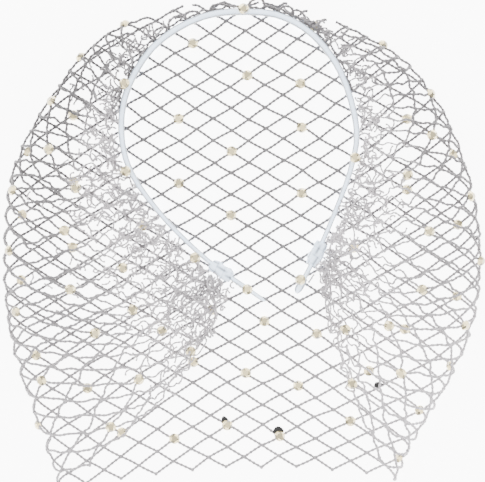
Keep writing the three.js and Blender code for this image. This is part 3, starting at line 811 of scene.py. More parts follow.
def add_node(tree, kind, settings=None, inputs=None, links=None):
    """Adds a node, sets its properties and sockets, and links sockets to outputs."""
    node = tree.nodes.new(kind)
    for name, value in (settings or {}).items():
        setattr(node, name, value)
    for name, value in (inputs or {}).items():
        node.inputs[name].default_value = value
    for name, output in (links or {}).items():
        tree.links.new(output, node.inputs[name])
    return node


def new_material(name, inputs):
    material = bpy.data.materials.new(name)
    material.use_nodes = True
    tree = material.node_tree
    shader = next(n for n in tree.nodes if n.type == "BSDF_PRINCIPLED")
    for socket, value in inputs.items():
        shader.inputs[socket].default_value = value
    return material, tree, shader


def opaque(colour):
    return [colour[0], colour[1], colour[2], 1.0]


def kept_tone(tree):
    return add_node(tree, "ShaderNodeAttribute", {"attribute_name": "tone"}).outputs["Fac"]


def noise(tree, place, length, detail):
    """Clouds of about one length, in millimetres."""
    inputs = {"Scale": 1 / (length * MM), "Detail": detail}
    return add_node(tree, "ShaderNodeTexNoise", inputs=inputs, links={"Vector": place}).outputs["Fac"]


def ranged(tree, value, before, after, clamp=True):
    """A value taken from one range to another."""
    inputs = {"From Min": before[0], "From Max": before[1], "To Min": after[0], "To Max": after[1]}
    node = add_node(tree, "ShaderNodeMapRange", {"clamp": clamp}, inputs, {"Value": value})
    return node.outputs["Result"]


def product(tree, one, other):
    node = add_node(tree, "ShaderNodeMath", {"operation": "MULTIPLY"}, links={0: one, 1: other})
    return node.outputs["Value"]


def set_colour(tree, shader, colour, scale):
    """Gives the shader a colour that is lighter or darker by a scale."""
    tint = add_node(tree, "ShaderNodeVectorMath", {"operation": "SCALE"}, {0: colour[:]}, {"Scale": scale})
    tree.links.new(tint.outputs["Vector"], shader.inputs["Base Color"])


def set_relief(tree, shader, height, strength, depth):
    """Gives the shader a fine relief, its depth in millimetres."""
    inputs = {"Strength": strength, "Distance": depth * MM}
    bump = add_node(tree, "ShaderNodeBump", inputs=inputs, links={"Height": height})
    tree.links.new(bump.outputs["Normal"], shader.inputs["Normal"])


def cord_material(colours):
    """Cotton cord, two plies twisted and bleached: the grooves between the plies get painted shade, and the
    cord is painted paler in some places and darker in others as light and shade.
    """
    material, tree, shader = new_material(
        "Cotton cord, two-ply twisted", {"Roughness": 0.8, "IOR": 1.45, "Sheen Weight": 0.2}
    )
    place = add_node(tree, "ShaderNodeTexCoord").outputs["Object"]
    patches = noise(tree, place, length=30, detail=2.0)
    patches = ranged(tree, patches, before=(0.3, 0.7), after=(0.9, 1.08))
    # The kept tone paints shade in the grooves between the plies, and light and shade across the net.
    grooves = ranged(tree, kept_tone(tree), before=(0.7, 1.0), after=(0.74, 1.05), clamp=False)
    set_colour(tree, shader, colours.cord, product(tree, patches, grooves))
    fibres = noise(tree, place, length=0.4, detail=3.0)
    set_relief(tree, shader, fibres, strength=0.3, depth=0.05)
    return material


def satin_material(colours):
    """Satin ribbon, polyester, woven with floating threads, with a cool sheen; its tone is painted light and
    shade: painted highlights and painted shade across the ribbon, painted shade at the edges and in the
    bindings' grooves and folds.
    """
    material, tree, shader = new_material(
        "Satin ribbon, woven polyester",
        {"Roughness": 0.38, "IOR": 1.5, "Sheen Weight": 0.35, "Anisotropic": 0.4},
    )
    place = add_node(tree, "ShaderNodeTexCoord").outputs["Object"]
    # The kept tone is painted light and shade, lifting the colour above its own as painted highlights.
    laps = ranged(tree, kept_tone(tree), before=(0.0, 1.0), after=(0.08, 1.8))
    clouds = noise(tree, place, length=9, detail=3.0)
    clouds = ranged(tree, clouds, before=(0.3, 0.7), after=(0.92, 1.06))
    set_colour(tree, shader, colours.satin, product(tree, laps, clouds))
    threads = add_node(
        tree,
        "ShaderNodeTexWave",
        {"wave_type": "BANDS", "bands_direction": "DIAGONAL"},
        {"Scale": 1 / (THREAD_SPACING * MM), "Distortion": 2.0, "Detail": 2.0},
        {"Vector": place},
    )
    set_relief(tree, shader, threads.outputs["Fac"], strength=0.25, depth=0.08)
    return material


def crystal_material(colours):
    """Cut glass, foil-backed and tinted, with a warm body; its bright and dim facets are painted
    reflections.
    """
    material, tree, shader = new_material(
        "Cut glass, foil-backed",
        {
            "Roughness": 0.07,
            "IOR": 1.56,
            "Transmission Weight": 0.12,
            "Coat Weight": 0.25,
            "Coat Roughness": 0.03,
        },
    )
    # The kept tone paints the facets' reflections, bright and dim.
    facets = ranged(tree, kept_tone(tree), before=(0.0, 1.0), after=(0.18, 1.9))
    set_colour(tree, shader, colours.glass, facets)
    return material


def fleck_material(colours):
    """Dark flecks: nearly black with a dull skin."""
    inputs = {"Base Color": opaque(colours.fleck), "Roughness": 0.6}
    return new_material("Dark fleck, dull", inputs)[0]


def floor_material(colours):
    """Opal acrylic, lit from below: an even pale ground with hardly a shadow, as under the real thing."""
    inputs = {
        "Base Color": opaque(colours.floor),
        "Roughness": 0.9,
        "Emission Color": opaque(colours.floor),
        "Emission Strength": FLOOR_GLOW,
    }
    return new_material("Opal acrylic, lit from below", inputs)[0]


# The band, its ends and its bindings


def both_arms(share):
    """Place and outer side along the whole band, and the share of its own arm."""
    left = share < CROWN_SHARE
    arm = np.where(left, 1 - share / CROWN_SHARE, (share - CROWN_SHARE) / (1 - CROWN_SHARE))
    u = BAND_LINE.by_length(share)
    return BAND_LINE.at(u), outer_side(BAND_LINE.direction(u)), arm


def squared(angle, power):
    """Directions of a section rounder than a box and flatter than an oval."""
    c, s = np.cos(angle), np.sin(angle)
    return np.sign(c) * np.abs(c) ** power, np.sign(s) * np.abs(s) ** power


def straight_rod(name, corners, rings):
    """A rod from a cylinder whose sides are cut into rings, one unit long on Z and still straight."""
    select_only()
    bpy.ops.mesh.primitive_cylinder_add(vertices=corners, radius=1, depth=1, location=(0, 0, 0.5))
    rod = bpy.context.object
    rod.name = name
    bpy.ops.object.transform_apply(location=True, rotation=True, scale=True)
    bpy.ops.object.mode_set(mode="EDIT")
    bpy.ops.mesh.select_mode(type="EDGE")
    bpy.ops.mesh.select_all(action="DESELECT")
    bpy.ops.object.mode_set(mode="OBJECT")
    heights = [v.co.z for v in rod.data.vertices]
    for edge in rod.data.edges:
        a, b = edge.vertices
        edge.select = abs(heights[a] - heights[b]) > 0.5
    bpy.ops.object.mode_set(mode="EDIT")
    bpy.ops.mesh.subdivide(number_cuts=rings - 1)
    bpy.ops.object.mode_set(mode="OBJECT")
    return rod


def shape_rod(rod, place):
    """Moves every point of a straight rod to place(angle, share) and keeps the tone it returns."""
    mesh = rod.data
    points = np.zeros(len(mesh.vertices) * 3, np.float32)
    mesh.vertices.foreach_get("co", points)
    points = points.reshape(-1, 3)
    angle = np.arctan2(points[:, 1], points[:, 0])
    placed, tone = place(angle, np.clip(points[:, 2], 0, 1))
    mesh.vertices.foreach_set("co", to_frame(placed).astype(np.float32).ravel())
    keep_tones(mesh, tone, "POINT")
    mesh.update()


def crumple(piece):
    """Creases from two cloud textures, applied as modifiers, the second finer than the first."""
    select_only(piece)
    for number, share in enumerate((1.0, FINER_CREASES)):
        texture = bpy.data.textures.new(f"{piece.name}_creases_{number}", type="CLOUDS")
        texture.noise_scale = CREASES_LONG * MM * share
        texture.noise_depth = 2
        crease = piece.modifiers.new(f"creases_{number}", "DISPLACE")
        crease.texture = texture
        crease.texture_coords = "LOCAL"
        crease.strength = CREASES_DEEP * MM * share
        bpy.ops.object.modifier_apply(modifier=crease.name)


def satin_piece(name, sizes, place, material, creased=False):
    """Models a rod, shapes it by place(angle, share) and finishes it in satin."""
    rod = straight_rod(name, sizes["corners"], sizes["rings"])
    shape_rod(rod, place)
    outward_normals(rod)
    if creased:
        crumple(rod)
    shade(rod, sizes["smooth_below"])
    finish_piece(rod, material, (name,))


class VEIL_OT_band(bpy.types.Operator):
    """Models the headband, wound with narrow satin ribbon"""

    bl_idname = "veil.band"
    bl_label = "Band"

    def execute(self, context):
        ribbon = context.scene.veil_sizes.ribbon
        length = BAND_LINE.run[-1]

        def place(angle, share):
            at, out, arm = both_arms(share)
            lap = (share * length * MM / ribbon + angle / (2 * math.pi)) % 1
            full = smooth(lap, *RIBBON_RISE) * (1 - smooth(lap, *RIBBON_FALL))
            swell = 1 - RIBBON_THICK + RIBBON_THICK * full
            across, up = squared(angle, BAND_SQUARE)
            points = at + out * (across * band_thick(arm) / 2 * swell)[:, None]
            points[:, 2] += MIDDLE + up * band_tall(arm) / 2 * swell
            # Painted highlight across each lap, painted shade where it tucks under the next and towards the
            # band's edges.
            light = smooth(lap, *LAP_LIGHT) * (1 - LAP_END * smooth(lap, *LAP_SHADE))
            tone = LAP_TONE + (1 - LAP_TONE) * light
            return points, tone * (1 - EDGE_PAINTED_SHADE * smooth(np.abs(across), EDGE_FROM, BAND_EDGE_TO))

        material = satin_material(context.scene.veil_colours)
        satin_piece("headband", BAND_ROD, place, material)
        return {"FINISHED"}


def tip_shape(sign, length, width):
    """Shape and painted edge shade of an end sleeve, set on the end of an arm and rounded at its tip."""
    end, along, out = (value[0] for value in arm_at(sign, 1.0))
    forward = along * sign

    def place(angle, share):
        closing = np.maximum(0, share - TIP_ROUND_FROM) / (1 - TIP_ROUND_FROM)
        rounded = np.sqrt(np.maximum(TIP_SMALLEST, 1 - closing**2))
        pinch = 1 - TIP_PINCH * np.exp(-(((share - TIP_PINCH_AT) / TIP_PINCH_LONG) ** 2))
        across, up = squared(angle, TIP_SQUARE)
        flute = 1 + TIP_FLUTE * np.sin(angle * 3 + share * 5)
        points = end + forward * (share * (length + TIP_LAP) - TIP_LAP)[:, None]
        points = points + out * (across * width / 2 * rounded * pinch * flute)[:, None]
        points[:, 2] += MIDDLE + up * BAND_TALL_TIP * TIP_HALF_TALL * rounded * pinch
        return points, 1 - EDGE_PAINTED_SHADE * smooth(np.abs(across), EDGE_FROM, TIP_EDGE_TO)

    return place


def fold_wave(fold, angle, share, start=0.0):
    """Depth of a fold that runs round and along a binding."""
    return fold["deep"] * np.sin(angle * fold["round"] + share * fold["along"] + start)


def binding_shape(sign):
    """Shape and painted shade of a binding, wound round an arm and thinner at its ends."""
    reach = BINDING_LENGTH / arm_length(sign)
    start = BINDING_START if sign > 0 else 0.0

    def place(angle, share):
        at, _, out = arm_at(sign, BINDING_SHARE + (share - 0.5) * reach)
        lumps = BINDING_LUMPS * np.sin(share * math.pi * 3 + start)
        swell = BINDING_FULL + lumps - BINDING_TAPER * (2 * share - 1) ** 2
        wind = (share * BINDING_TURNS + angle / (2 * math.pi)) % 1
        folds = fold_wave(BROAD_FOLD, angle, share, start) + fold_wave(FINE_FOLD, angle, share)
        swell = swell * (1 + folds - BINDING_GROOVE * (1 - smooth(wind, *BINDING_GROOVE_WIDE)))
        across, up = squared(angle, BINDING_SQUARE)
        points = at + out * (across * BINDING_WIDTH / 2 * swell)[:, None]
        points[:, 2] += MIDDLE + up * BINDING_TALL / 2 * swell
        # Painted shade in the winding groove and in the hollows of the folds.
        tone = BINDING_TONE - GROOVE_PAINTED_SHADE * (1 - smooth(wind, *GROOVE_SHADE))
        tone = tone - FOLD_PAINTED_SHADE * np.maximum(0, -folds)
        return points, np.clip(tone, 0, 1)

    return place


class VEIL_OT_ends(bpy.types.Operator):
    """Models the two end sleeves and the two crumpled satin bindings of the band"""

    bl_idname = "veil.ends"
    bl_label = "Ends and bindings"

    def execute(self, context):
        material = satin_material(context.scene.veil_colours)
        left = tip_shape(-1, TIP_LENGTH_LEFT, TIP_WIDTH_LEFT)
        right = tip_shape(1, TIP_LENGTH_RIGHT, TIP_WIDTH_RIGHT)
        for name, place in (("left_tip", left), ("right_tip", right)):
            satin_piece(name, TIP_ROD, place, material)
        for name, sign in (("left_binding", -1), ("right_binding", 1)):
            satin_piece(name, BINDING_ROD, binding_shape(sign), material, creased=True)
        return {"FINISHED"}


# The net


def beyond(points):
    """How far past the place where the net is fastened the spread points lie."""
    info = NET.through(points)
    return info["past"] - info["reach"]


def ripple(points, reach, seed):
    """Smooth uneven shifts, three numbers a point, from a few crossing waves of about one length."""
    rng = np.random.default_rng(seed)
    shift = np.zeros((len(points), 3))
    for _ in range(WAVES):
        heading = rng.uniform(0, 2 * math.pi)
        length = reach * rng.uniform(*WAVE_LENGTHS)
        phase = (points @ np.array([math.cos(heading), math.sin(heading)])) * 2 * math.pi / length
        shift += np.sin(phase + rng.uniform(0, 2 * math.pi))[:, None] * rng.normal(0, 1, 3)
    return shift / math.sqrt(WAVES)


def looseness(points):
    """0 where the net lies even, up to 1 where it bunches up beside the arms of the band."""
    info = NET.through(points)
    width = np.maximum(info["width"], SMALLEST)
    start = info["curl"] / width
    inset = info["curl"] + np.maximum(0, info["past"] - info["radius"] * math.pi / 2)
    along = np.clip(inset / width, 0, 1)
    return smooth((along - start) / np.maximum(1 - start, SMALLEST), 0.0, LOOSE_BY) * (info["past"] > 0)


def crumpled(points):
    """Folded places, pushed about in the gathers and a little in the folds."""
    shift = ripple(points, CRUMPLE_LENGTH, CRUMPLE_SEED) * CRUMPLE
    shift += ripple(points, CREASE_LENGTH, CREASE_SEED) * CREASE
    shift[:, 2] *= CRUMPLE_TALL
    sag = FOLD_CRUMPLE * smooth(NET.through(points)["past"], -FOLD_RADIUS, FOLD_RADIUS)
    return NET.folded(points) + shift * np.maximum(looseness(points), sag)[:, None]


def in_parts(function, points, size=3000):
    """Runs a function over many points a few thousand at a time."""
    return np.concatenate([function(points[i : i + size]) for i in range(0, len(points), size)])


def net_knots(seed):
    """Every crossing of the fine lattice: its place spread flat and its own small lift."""
    rng = np.random.default_rng(seed)
    span = np.arange(-LATTICE_REACH, LATTICE_REACH + 1)
    p, q = (grid.ravel() for grid in np.meshgrid(span, span, indexing="ij"))
    shift = rng.uniform(-JITTER, JITTER, (len(p), 2))
    lift = rng.uniform(*KNOT_LIFTS, len(p))
    row = p - q
    keep = (row >= TOP_ROW) & (row <= HEM_ROW) & (np.abs(p + q) <= LATTICE_COLUMNS)
    p, q, shift, lift = p[keep], q[keep], shift[keep], lift[keep]
    return p, q, spread_points(p + q, p - q) + shift, lift


def neighbours(p, q):
    """Pairs of knots that a cord joins."""
    index = {(int(a), int(b)): i for i, (a, b) in enumerate(zip(p, q))}
    pairs = []
    for (a, b), i in index.items():
        for step in ((1, 0), (0, 1)):
            other = index.get((a + step[0], b + step[1]))
            if other is not None:
                pairs.append((i, other))
    return np.array(pairs)


def net_cords(seed, slack):
    """The cords between neighbouring knots, cut off where the net is fastened, in the spread plane."""
    p, q, places, lift = net_knots(seed)
    rng = np.random.default_rng(seed + 1)
    pairs = neighbours(p, q)
    outside = in_parts(beyond, places)
    pairs = pairs[(outside[pairs[:, 0]] <= 0) | (outside[pairs[:, 1]] <= 0)]
    swap = outside[pairs[:, 0]] > 0
    pairs[swap] = pairs[swap][:, ::-1]
    start, end = places[pairs[:, 0]], places[pairs[:, 1]]
    low, high = np.zeros(len(pairs)), np.ones(len(pairs))
    cut = outside[pairs[:, 1]] > 0
    for _ in range(CUT_HALVINGS):
        middle = (low + high) / 2
        there = in_parts(beyond, mix(start, end, middle[:, None])) > 0
        low = np.where(cut & ~there, middle, low)
        high = np.where(cut & there, middle, high)
    reach = np.where(cut, low, 1.0)
    keep = reach > SHORTEST_CORD
    pairs, start, end, reach = pairs[keep], start[keep], end[keep], reach[keep]
    t = np.linspace(0, 1, CORD_STEPS)[None] * reach[:, None]
    side = np.stack([-(end - start)[:, 1], (end - start)[:, 0]], 1)
    side /= np.linalg.norm(side, axis=1, keepdims=True)
    bow = rng.uniform(-slack, slack, len(pairs))[:, None] * np.sin(np.pi * t)
    flat = mix(start[:, None], end[:, None], t[..., None]) + side[:, None] * bow[..., None]
    raised = mix(lift[pairs[:, 0]][:, None], lift[pairs[:, 1]][:, None], t)
    used = np.unique(pairs[outside[pairs] <= 0])
    return flat, raised, places[used], lift[used]


def lay(points, lift):
    """Spread points folded into the frame, lifted a little and kept off the floor."""
    folded = in_parts(crumpled, points)
    folded[:, 2] = np.maximum(folded[:, 2] + lift, FLOOR_GAP)
    return to_frame(folded)


def region_of(points):
    """0 for the left side and fold, 1 for the middle, 2 for the right side and fold."""
    info = NET.through(points)
    inside = -info["past"] > FRONT_INSIDE
    return np.where(inside, 1, np.where(info["edge"] < 0, 0, 2))


def build_net(sizes):
    """The cords and the knots: where each runs or sits, how loose it is and which region it is in."""
    flat, raised, spread_knots, knot_lift = net_cords(sizes.seed, sizes.slack / MM)
    count, steps = flat.shape[:2]
    flat_points = flat.reshape(-1, 2)
    cords = {
        "line": lay(flat_points, raised.ravel()).reshape(count, steps, 3),
        "loose": in_parts(looseness, flat_points).reshape(count, steps),
        "region": region_of(flat[:, steps // 2]),
    }
    knots = {
        "place": lay(spread_knots, knot_lift),
        "loose": in_parts(looseness, spread_knots),
        "region": region_of(spread_knots),
    }
    return cords, knots


def knot_shape():
    """One small round knot, modelled once."""
    select_only()
    bpy.ops.mesh.primitive_uv_sphere_add(segments=8, ring_count=5, radius=1, location=(0, 0, 0))
    ball = bpy.context.object
    bpy.ops.object.mode_set(mode="EDIT")
    bpy.ops.mesh.select_all(action="SELECT")
    bpy.ops.transform.resize(value=KNOT_STRETCH)
    bpy.ops.object.mode_set(mode="OBJECT")
    return take_shape(ball)


def painted_light_and_shade(places, loose):
    """Painted light and shade: how much lighter the cord is than at the crown's middle, by its place and how
    loose it is.
    """
    x, y, z = (places[..., axis] / MM for axis in range(3))
    above = smooth(z, *ABOVE_HEIGHT) * smooth(-y, *ABOVE_DOWN)
    hem = smooth(-y, *HEM_DOWN)
    right = smooth(x, *RIGHT_ACROSS) * smooth(-y, *RIGHT_DOWN)
    left = smooth(-x, *LEFT_ACROSS) * smooth(y, *LEFT_UP) * (1 - loose)
    return ABOVE_PALE * above + HEM_PALE * hem + RIGHT_PALE * right + LOOSE_PALE * loose - LEFT_DARK * left


def finish_cords(name, shapes, tones, material):
    """Makes shapes of cord one piece of the net."""
    points, faces = joined(shapes)
    piece = mesh_piece(name, points, faces, np.concatenate(tones))
    shade(piece, CORD_SMOOTH_BELOW)
    finish_piece(piece, material, ("veil_net",))


class VEIL_OT_net(bpy.types.Operator):
    """Models the diamond net of twisted cord, folded round both sides"""

    bl_idname = "veil.net"
    bl_label = "Net"

    def execute(self, context):
        sizes = context.scene.veil_sizes
        material = cord_material(context.scene.veil_colours)
        cords, knots = build_net(sizes)
        rng = np.random.default_rng(sizes.seed + 2)
        first_turn = rng.uniform(0, 2 * math.pi, len(cords["line"]))[:, None]
        cords["angle"] = twist_angles(cords["line"], sizes.twist) + first_turn
        knots["turn"] = rng.uniform(0, math.pi, len(knots["place"]))
        ball, ball_faces = knot_shape()
        for number, name in enumerate(("net_left", "net_front", "net_right")):
            cord = {key: values[cords["region"] == number] for key, values in cords.items()}
            knot = {key: values[knots["region"] == number] for key, values in knots.items()}
            section = CORD_SECTION * sizes.cord / 2
            widths = 1 - LOOSE_THIN * cord["loose"]
            shapes = [tubes(cord["line"], CORD_SIDE, section, cord["angle"], widths)]
            # Painted shade in the grooves between the plies, plus painted light and shade by place and
            # looseness.
            tones = [(CORD_SECTION + painted_light_and_shade(cord["line"], cord["loose"])[..., None]).ravel()]
            for place, turn, loose in zip(knot["place"], knot["turn"], knot["loose"]):
                points = spun(ball, turn) * sizes.knot / 2 * (1 - LOOSE_THIN * loose) + place
                shapes.append((points, ball_faces))
                tones.append(np.full(len(ball), KNOT_TONE + painted_light_and_shade(place, loose)))
            finish_cords(name, shapes, tones, material)
        return {"FINISHED"}


# The loops and the edge cord at the crown


def crown_loops(rng):
    """Lines of the loops that stand out from the band."""
    turn = np.linspace(0, math.pi, LOOP_STEPS)
    lines = []
    for loop in CROWN_LOOPS:
        sign = -1 if loop["x"] < 0 else 1
        at, along, out = (value[0] for value in arm_at(sign, abs(loop["x"]) / arm_length(sign)))
        lean = rng.uniform(-LOOP_LEAN, LOOP_LEAN)
        across = np.cos(turn) * loop["wide"] / 2 + lean * np.sin(turn)
        outer = BAND_THICK_CROWN / 2 - LOOP_ROOT + np.sin(turn) ** LOOP_ROUND * (loop["tall"] + LOOP_ROOT)
        line = at + along * across[:, None] + out * outer[:, None]
        line[:, 2] = MIDDLE + LOOP_HEIGHT + LOOP_ARCH * np.sin(turn) + rng.uniform(-LOOP_UNEVEN, LOOP_UNEVEN)
        lines.append(line)
    return to_frame(np.array(lines))


def edge_wave(wave, share, start=0):
    return wave["size"] * np.sin(share * wave["pace"] + start)


def edge_cords():
    """Lines of the net's edge cord, which wavers along the band on both sides of the crown."""
    share = np.linspace(0, EDGE_CORD_SHARE, EDGE_CORD_STEPS)
    lines = []
    for sign in (-1, 1):
        at, _, out = arm_at(sign, share)
        wave = edge_wave(EDGE_WAVE, share, sign) + edge_wave(EDGE_RIPPLE, share)
        line = at + out * (band_thick(share) / 2 + EDGE_CORD_GAP + wave)[:, None]
        line[:, 2] = MIDDLE + EDGE_CORD_HEIGHT + edge_wave(EDGE_BOB, share)
        lines.append(line)
    return to_frame(np.array(lines))


class VEIL_OT_loops(bpy.types.Operator):
    """Models the net's loops and the edge cord that stand out from the band at the crown"""

    bl_idname = "veil.loops"
    bl_label = "Crown loops"

    def execute(self, context):
        sizes = context.scene.veil_sizes
        rng = np.random.default_rng(sizes.seed + 4)
        shapes, tones = [], []
        for lines, radius in ((crown_loops(rng), LOOP_RADIUS), (edge_cords(), EDGE_CORD_RADIUS)):
            section = CORD_SECTION * sizes.cord * radius
            shapes.append(tubes(lines, UP, section, twist_angles(lines, sizes.twist)))
            # Painted shade in the grooves between the plies.
            tones.append(np.tile(CORD_SECTION, lines.shape[0] * lines.shape[1]))
        finish_cords("crown_loops", shapes, tones, cord_material(context.scene.veil_colours))
        return {"FINISHED"}


# The bunched net beside the band


def strands(row, rng):
    """Short curling lines beside one stretch of an arm."""
    count = row["count"]
    share = mix(row["start"], row["end"], rng.uniform(0, 1, count) ** STRAND_CROWDING)
    at, _, out = arm_at(row["sign"], share)
    full = smooth(share - row["start"], *STRAND_FADE)
    away = row["near"] + np.abs(rng.normal(0, 1, count)) * row["wide"] * full
    place = at + out * away[:, None]
    height = rng.uniform(*STRAND_HEIGHTS, count)
    place[:, 2] = MIDDLE + height + np.minimum(away, STRAND_SLOPE_END) * STRAND_SLOPE
    heading = rng.uniform(0, 2 * math.pi, count)
    bend = rng.normal(0, STRAND_BEND, count)
    rise = rng.uniform(-STRAND_RISE, STRAND_RISE, count)
    path = [place]
    for _ in range(STRAND_STEPS - 1):
        bend = bend * STRAND_CARRY + rng.normal(0, STRAND_CURL, count)
        heading = heading + bend
        rise = rise * STRAND_CARRY + rng.normal(0, STRAND_WANDER, count)
        step = np.stack([np.cos(heading), np.sin(heading), rise], 1)
        path.append(path[-1] + step * STRAND_STEP)
    path = np.stack(path, 1)
    path[..., 2] = np.maximum(path[..., 2], STRAND_LOWEST)
    return path


def past_line(points, line, side):
    """How far flat points lie past the nearest point of a line, towards its side."""
    near = np.linalg.norm(points[:, None] - line[None], axis=2).argmin(1)
    return ((points - line[near]) * side[near]).sum(1)


def between_band_and_fold(lines):
    """Which lines lie clear of the band and of the fold line along their whole length."""
    u = np.linspace(0, 1, num=400)
    flat = lines[..., :2].reshape(-1, 2)
    from_band = past_line(flat, BAND_LINE.at(u)[:, :2], outer_side(BAND_LINE.direction(u))[:, :2])
    from_fold = past_line(flat, NET.plan, NET.out)
    clear = (from_band > STRAND_CLEAR) & (from_fold < -STRAND_CLEAR)
    return clear.reshape(lines.shape[:2]).all(1)


class VEIL_OT_ruffles(bpy.types.Operator):
    """Models the bunched net beside both arms of the band as short curling strands"""

    bl_idname = "veil.ruffles"
    bl_label = "Ruffles"

    def execute(self, context):
        sizes = context.scene.veil_sizes
        rng = np.random.default_rng(sizes.seed + 6)
        lines = np.concatenate([strands(row, rng) for row in RUFFLES])
        pale = np.concatenate([np.full(row["count"], row["pale"]) for row in RUFFLES])
        keep = between_band_and_fold(lines)
        lines, pale = to_frame(lines[keep]), pale[keep]
        section = CORD_SECTION * sizes.cord * STRAND_RADIUS
        shape = tubes(lines, CORD_SIDE, section, twist_angles(lines, sizes.twist))
        # Painted shade in the grooves between the plies, and painted light on the paler bunched strands.
        tones = np.repeat(CORD_SECTION[None] + pale[:, None], lines.shape[1], axis=0).ravel()
        finish_cords("ruffles", [shape], [tones], cord_material(context.scene.veil_colours))
        return {"FINISHED"}


# The crystals


def sites_spread(sites):
    """Places of crossings p, q in the spread plane."""
    return spread_points(sites.sum(1), sites[:, 0] - sites[:, 1])


def fold_sites():
    """Crossings that carry a crystal on the folds and above: every third one both ways."""
    found = []
    for i in range(-SITE_REACH, SITE_REACH + 1):
        for j in range(-SITE_REACH, SITE_REACH + 1):
            p = CRYSTAL_EVERY * i + (1 if i > 0 else 0)
            q = CRYSTAL_EVERY * j + 1
            near = any(abs(one["p"] - p) + abs(one["q"] - q) < CRYSTAL_EVERY for one in CRYSTALS_BELOW)
            if TOP_ROW + 1 <= p - q <= HEM_ROW - 2 and not near:
                found.append((p, q))
    found = np.array(found)
    info = NET.through(sites_spread(found))
    past, reach = info["past"], info["reach"]
    keep = (past <= np.maximum(0, reach - HOLD_CLEAR) * CRYSTAL_REACH) & (past >= -OPEN_INSIDE)
    keep &= ~((-past < FOLD_LINE_CLEAR) & (past < 0) & (reach < 1))
    return found[keep]


def crystal_places(sites):
    """Middles and outward directions of the crystals on crossings p, q, in the frame."""
    spread = sites_spread(sites)
    info = NET.through(spread)
    shown = np.where(info["past"] < -info["radius"] * EDGE_TURN, 1.0, -1.0)
    normals = NET.inner_side(spread) * shown[:, None]
    centres = crumpled(spread) + normals * CRYSTAL_RISE
    line = BAND_LINE.at(BAND_LINE.by_length(np.linspace(0, 1, num=800)))
    gap = np.linalg.norm(centres[:, None, :2] - line[None, :, :2], axis=2).min(1)
    on_band = (gap < BAND_THICK_CROWN / 2 + CRYSTAL_OVERLAP) & (info["past"] < 0)
    centres[on_band, 2] = MIDDLE + BAND_TALL_CROWN / 2 + ON_BAND_RISE
    return to_frame(centres), normals


def stone_shape(width):
    """One cut stone, modelled once: rings of corners closed by their convex hull."""
    select_only()
    rings = []
    for ring in STONE_RINGS:
        bpy.ops.mesh.primitive_circle_add(
            vertices=ring["count"],
            radius=ring["width"] * width / 2,
            location=(0, 0, ring["height"] * MM),
            rotation=(0, 0, ring["turn"] * 2 * math.pi / ring["count"]),
        )
        rings.append(bpy.context.object)
    stone = join_pieces(rings)
    bpy.ops.object.transform_apply(location=True, rotation=True, scale=True)
    bpy.ops.object.mode_set(mode="EDIT")
    bpy.ops.mesh.select_all(action="SELECT")
    bpy.ops.mesh.convex_hull()
    bpy.ops.mesh.select_all(action="SELECT")
    bpy.ops.mesh.dissolve_limited(angle_limit=math.radians(1))
    outward_normals(stone)
    return take_shape(stone)


def painted_facet_reflections(stone, faces):
    """Painted reflections: pale and dim facets by turns round the stone, and a table between the two."""
    middles = np.array([stone[face].mean(0) for face in faces])
    turn = np.arctan2(middles[:, 1], middles[:, 0]) / (2 * math.pi)
    far = np.linalg.norm(middles[:, :2], axis=1) / np.linalg.norm(stone[:, :2], axis=1).max()
    by_turns = 0.5 + 0.5 * np.sign(np.sin(turn * 2 * math.pi * FACET_PAIRS + FACET_START))
    rim = mix(DIM_FACET, PALE_FACET, by_turns)
    return np.where(far < TABLE_REACH, TABLE_TONE, rim)


class VEIL_OT_crystals(bpy.types.Operator):
    """Sets the cut crystals on crossings of the net"""

    bl_idname = "veil.crystals"
    bl_label = "Crystals"

    def execute(self, context):
        sizes = context.scene.veil_sizes
        material = crystal_material(context.scene.veil_colours)
        rng = np.random.default_rng(sizes.seed + 3)
        stone, stone_faces = stone_shape(sizes.crystal)
        facet_reflections = painted_facet_reflections(stone, stone_faces)
        below = np.array([(one["p"], one["q"]) for one in CRYSTALS_BELOW])
        groups = [
            ("crystals_below", below, tuple(f"crystal_{n + 1:02d}" for n in range(len(below)))),
            ("crystals_folds", fold_sites(), ("veil_net",)),
        ]
        for name, sites, nodes in groups:
            shapes, tones = [], []
            for centre, normal in zip(*crystal_places(sites)):
                tilt = rng.uniform(-CRYSTAL_TILT, CRYSTAL_TILT, 3)
                spin = rng.uniform(0, 2 * math.pi)
                turn = Vector(normal + tilt).normalized().to_track_quat("Z", "Y").to_matrix()
                placed = spun(stone, spin) @ np.array(turn).T + centre
                placed[:, 2] += max(0, FLOOR_GAP / 2 * MM - placed[:, 2].min())
                shapes.append((placed, stone_faces))
                tones.append(facet_reflections + rng.uniform(-FACET_UNEVEN, FACET_UNEVEN, len(stone_faces)))
            points, faces = joined(shapes)
            piece = mesh_piece(name, points, faces, np.concatenate(tones), "FACE")
            finish_piece(piece, material, nodes)
        return {"FINISHED"}


# The dark flecks


def fleck_piece(fleck):
    """One dark fleck: a flat ball bent like a bean, set down at its place."""
    select_only()
    bpy.ops.mesh.primitive_uv_sphere_add(segments=14, ring_count=9, radius=MM / 2, location=(0, 0, 0))
    piece = bpy.context.object
    bpy.ops.object.mode_set(mode="EDIT")
    bpy.ops.mesh.select_all(action="SELECT")
    bpy.ops.transform.resize(value=(fleck["long"], fleck["wide"], FLECK_TALL))
    bpy.ops.object.mode_set(mode="OBJECT")
    half = fleck["long"] * MM / 2
    for v in piece.data.vertices:
        v.co.y -= FLECK_BEND * fleck["wide"] * MM * (v.co.x / half) ** 2
    piece.rotation_euler.z = math.radians(fleck["turn"])
    piece.location = to_frame([fleck["x"], fleck["y"], UNDER_HEIGHT + FLECK_RISE])
    bpy.ops.object.transform_apply(location=True, rotation=True, scale=True)
    return piece


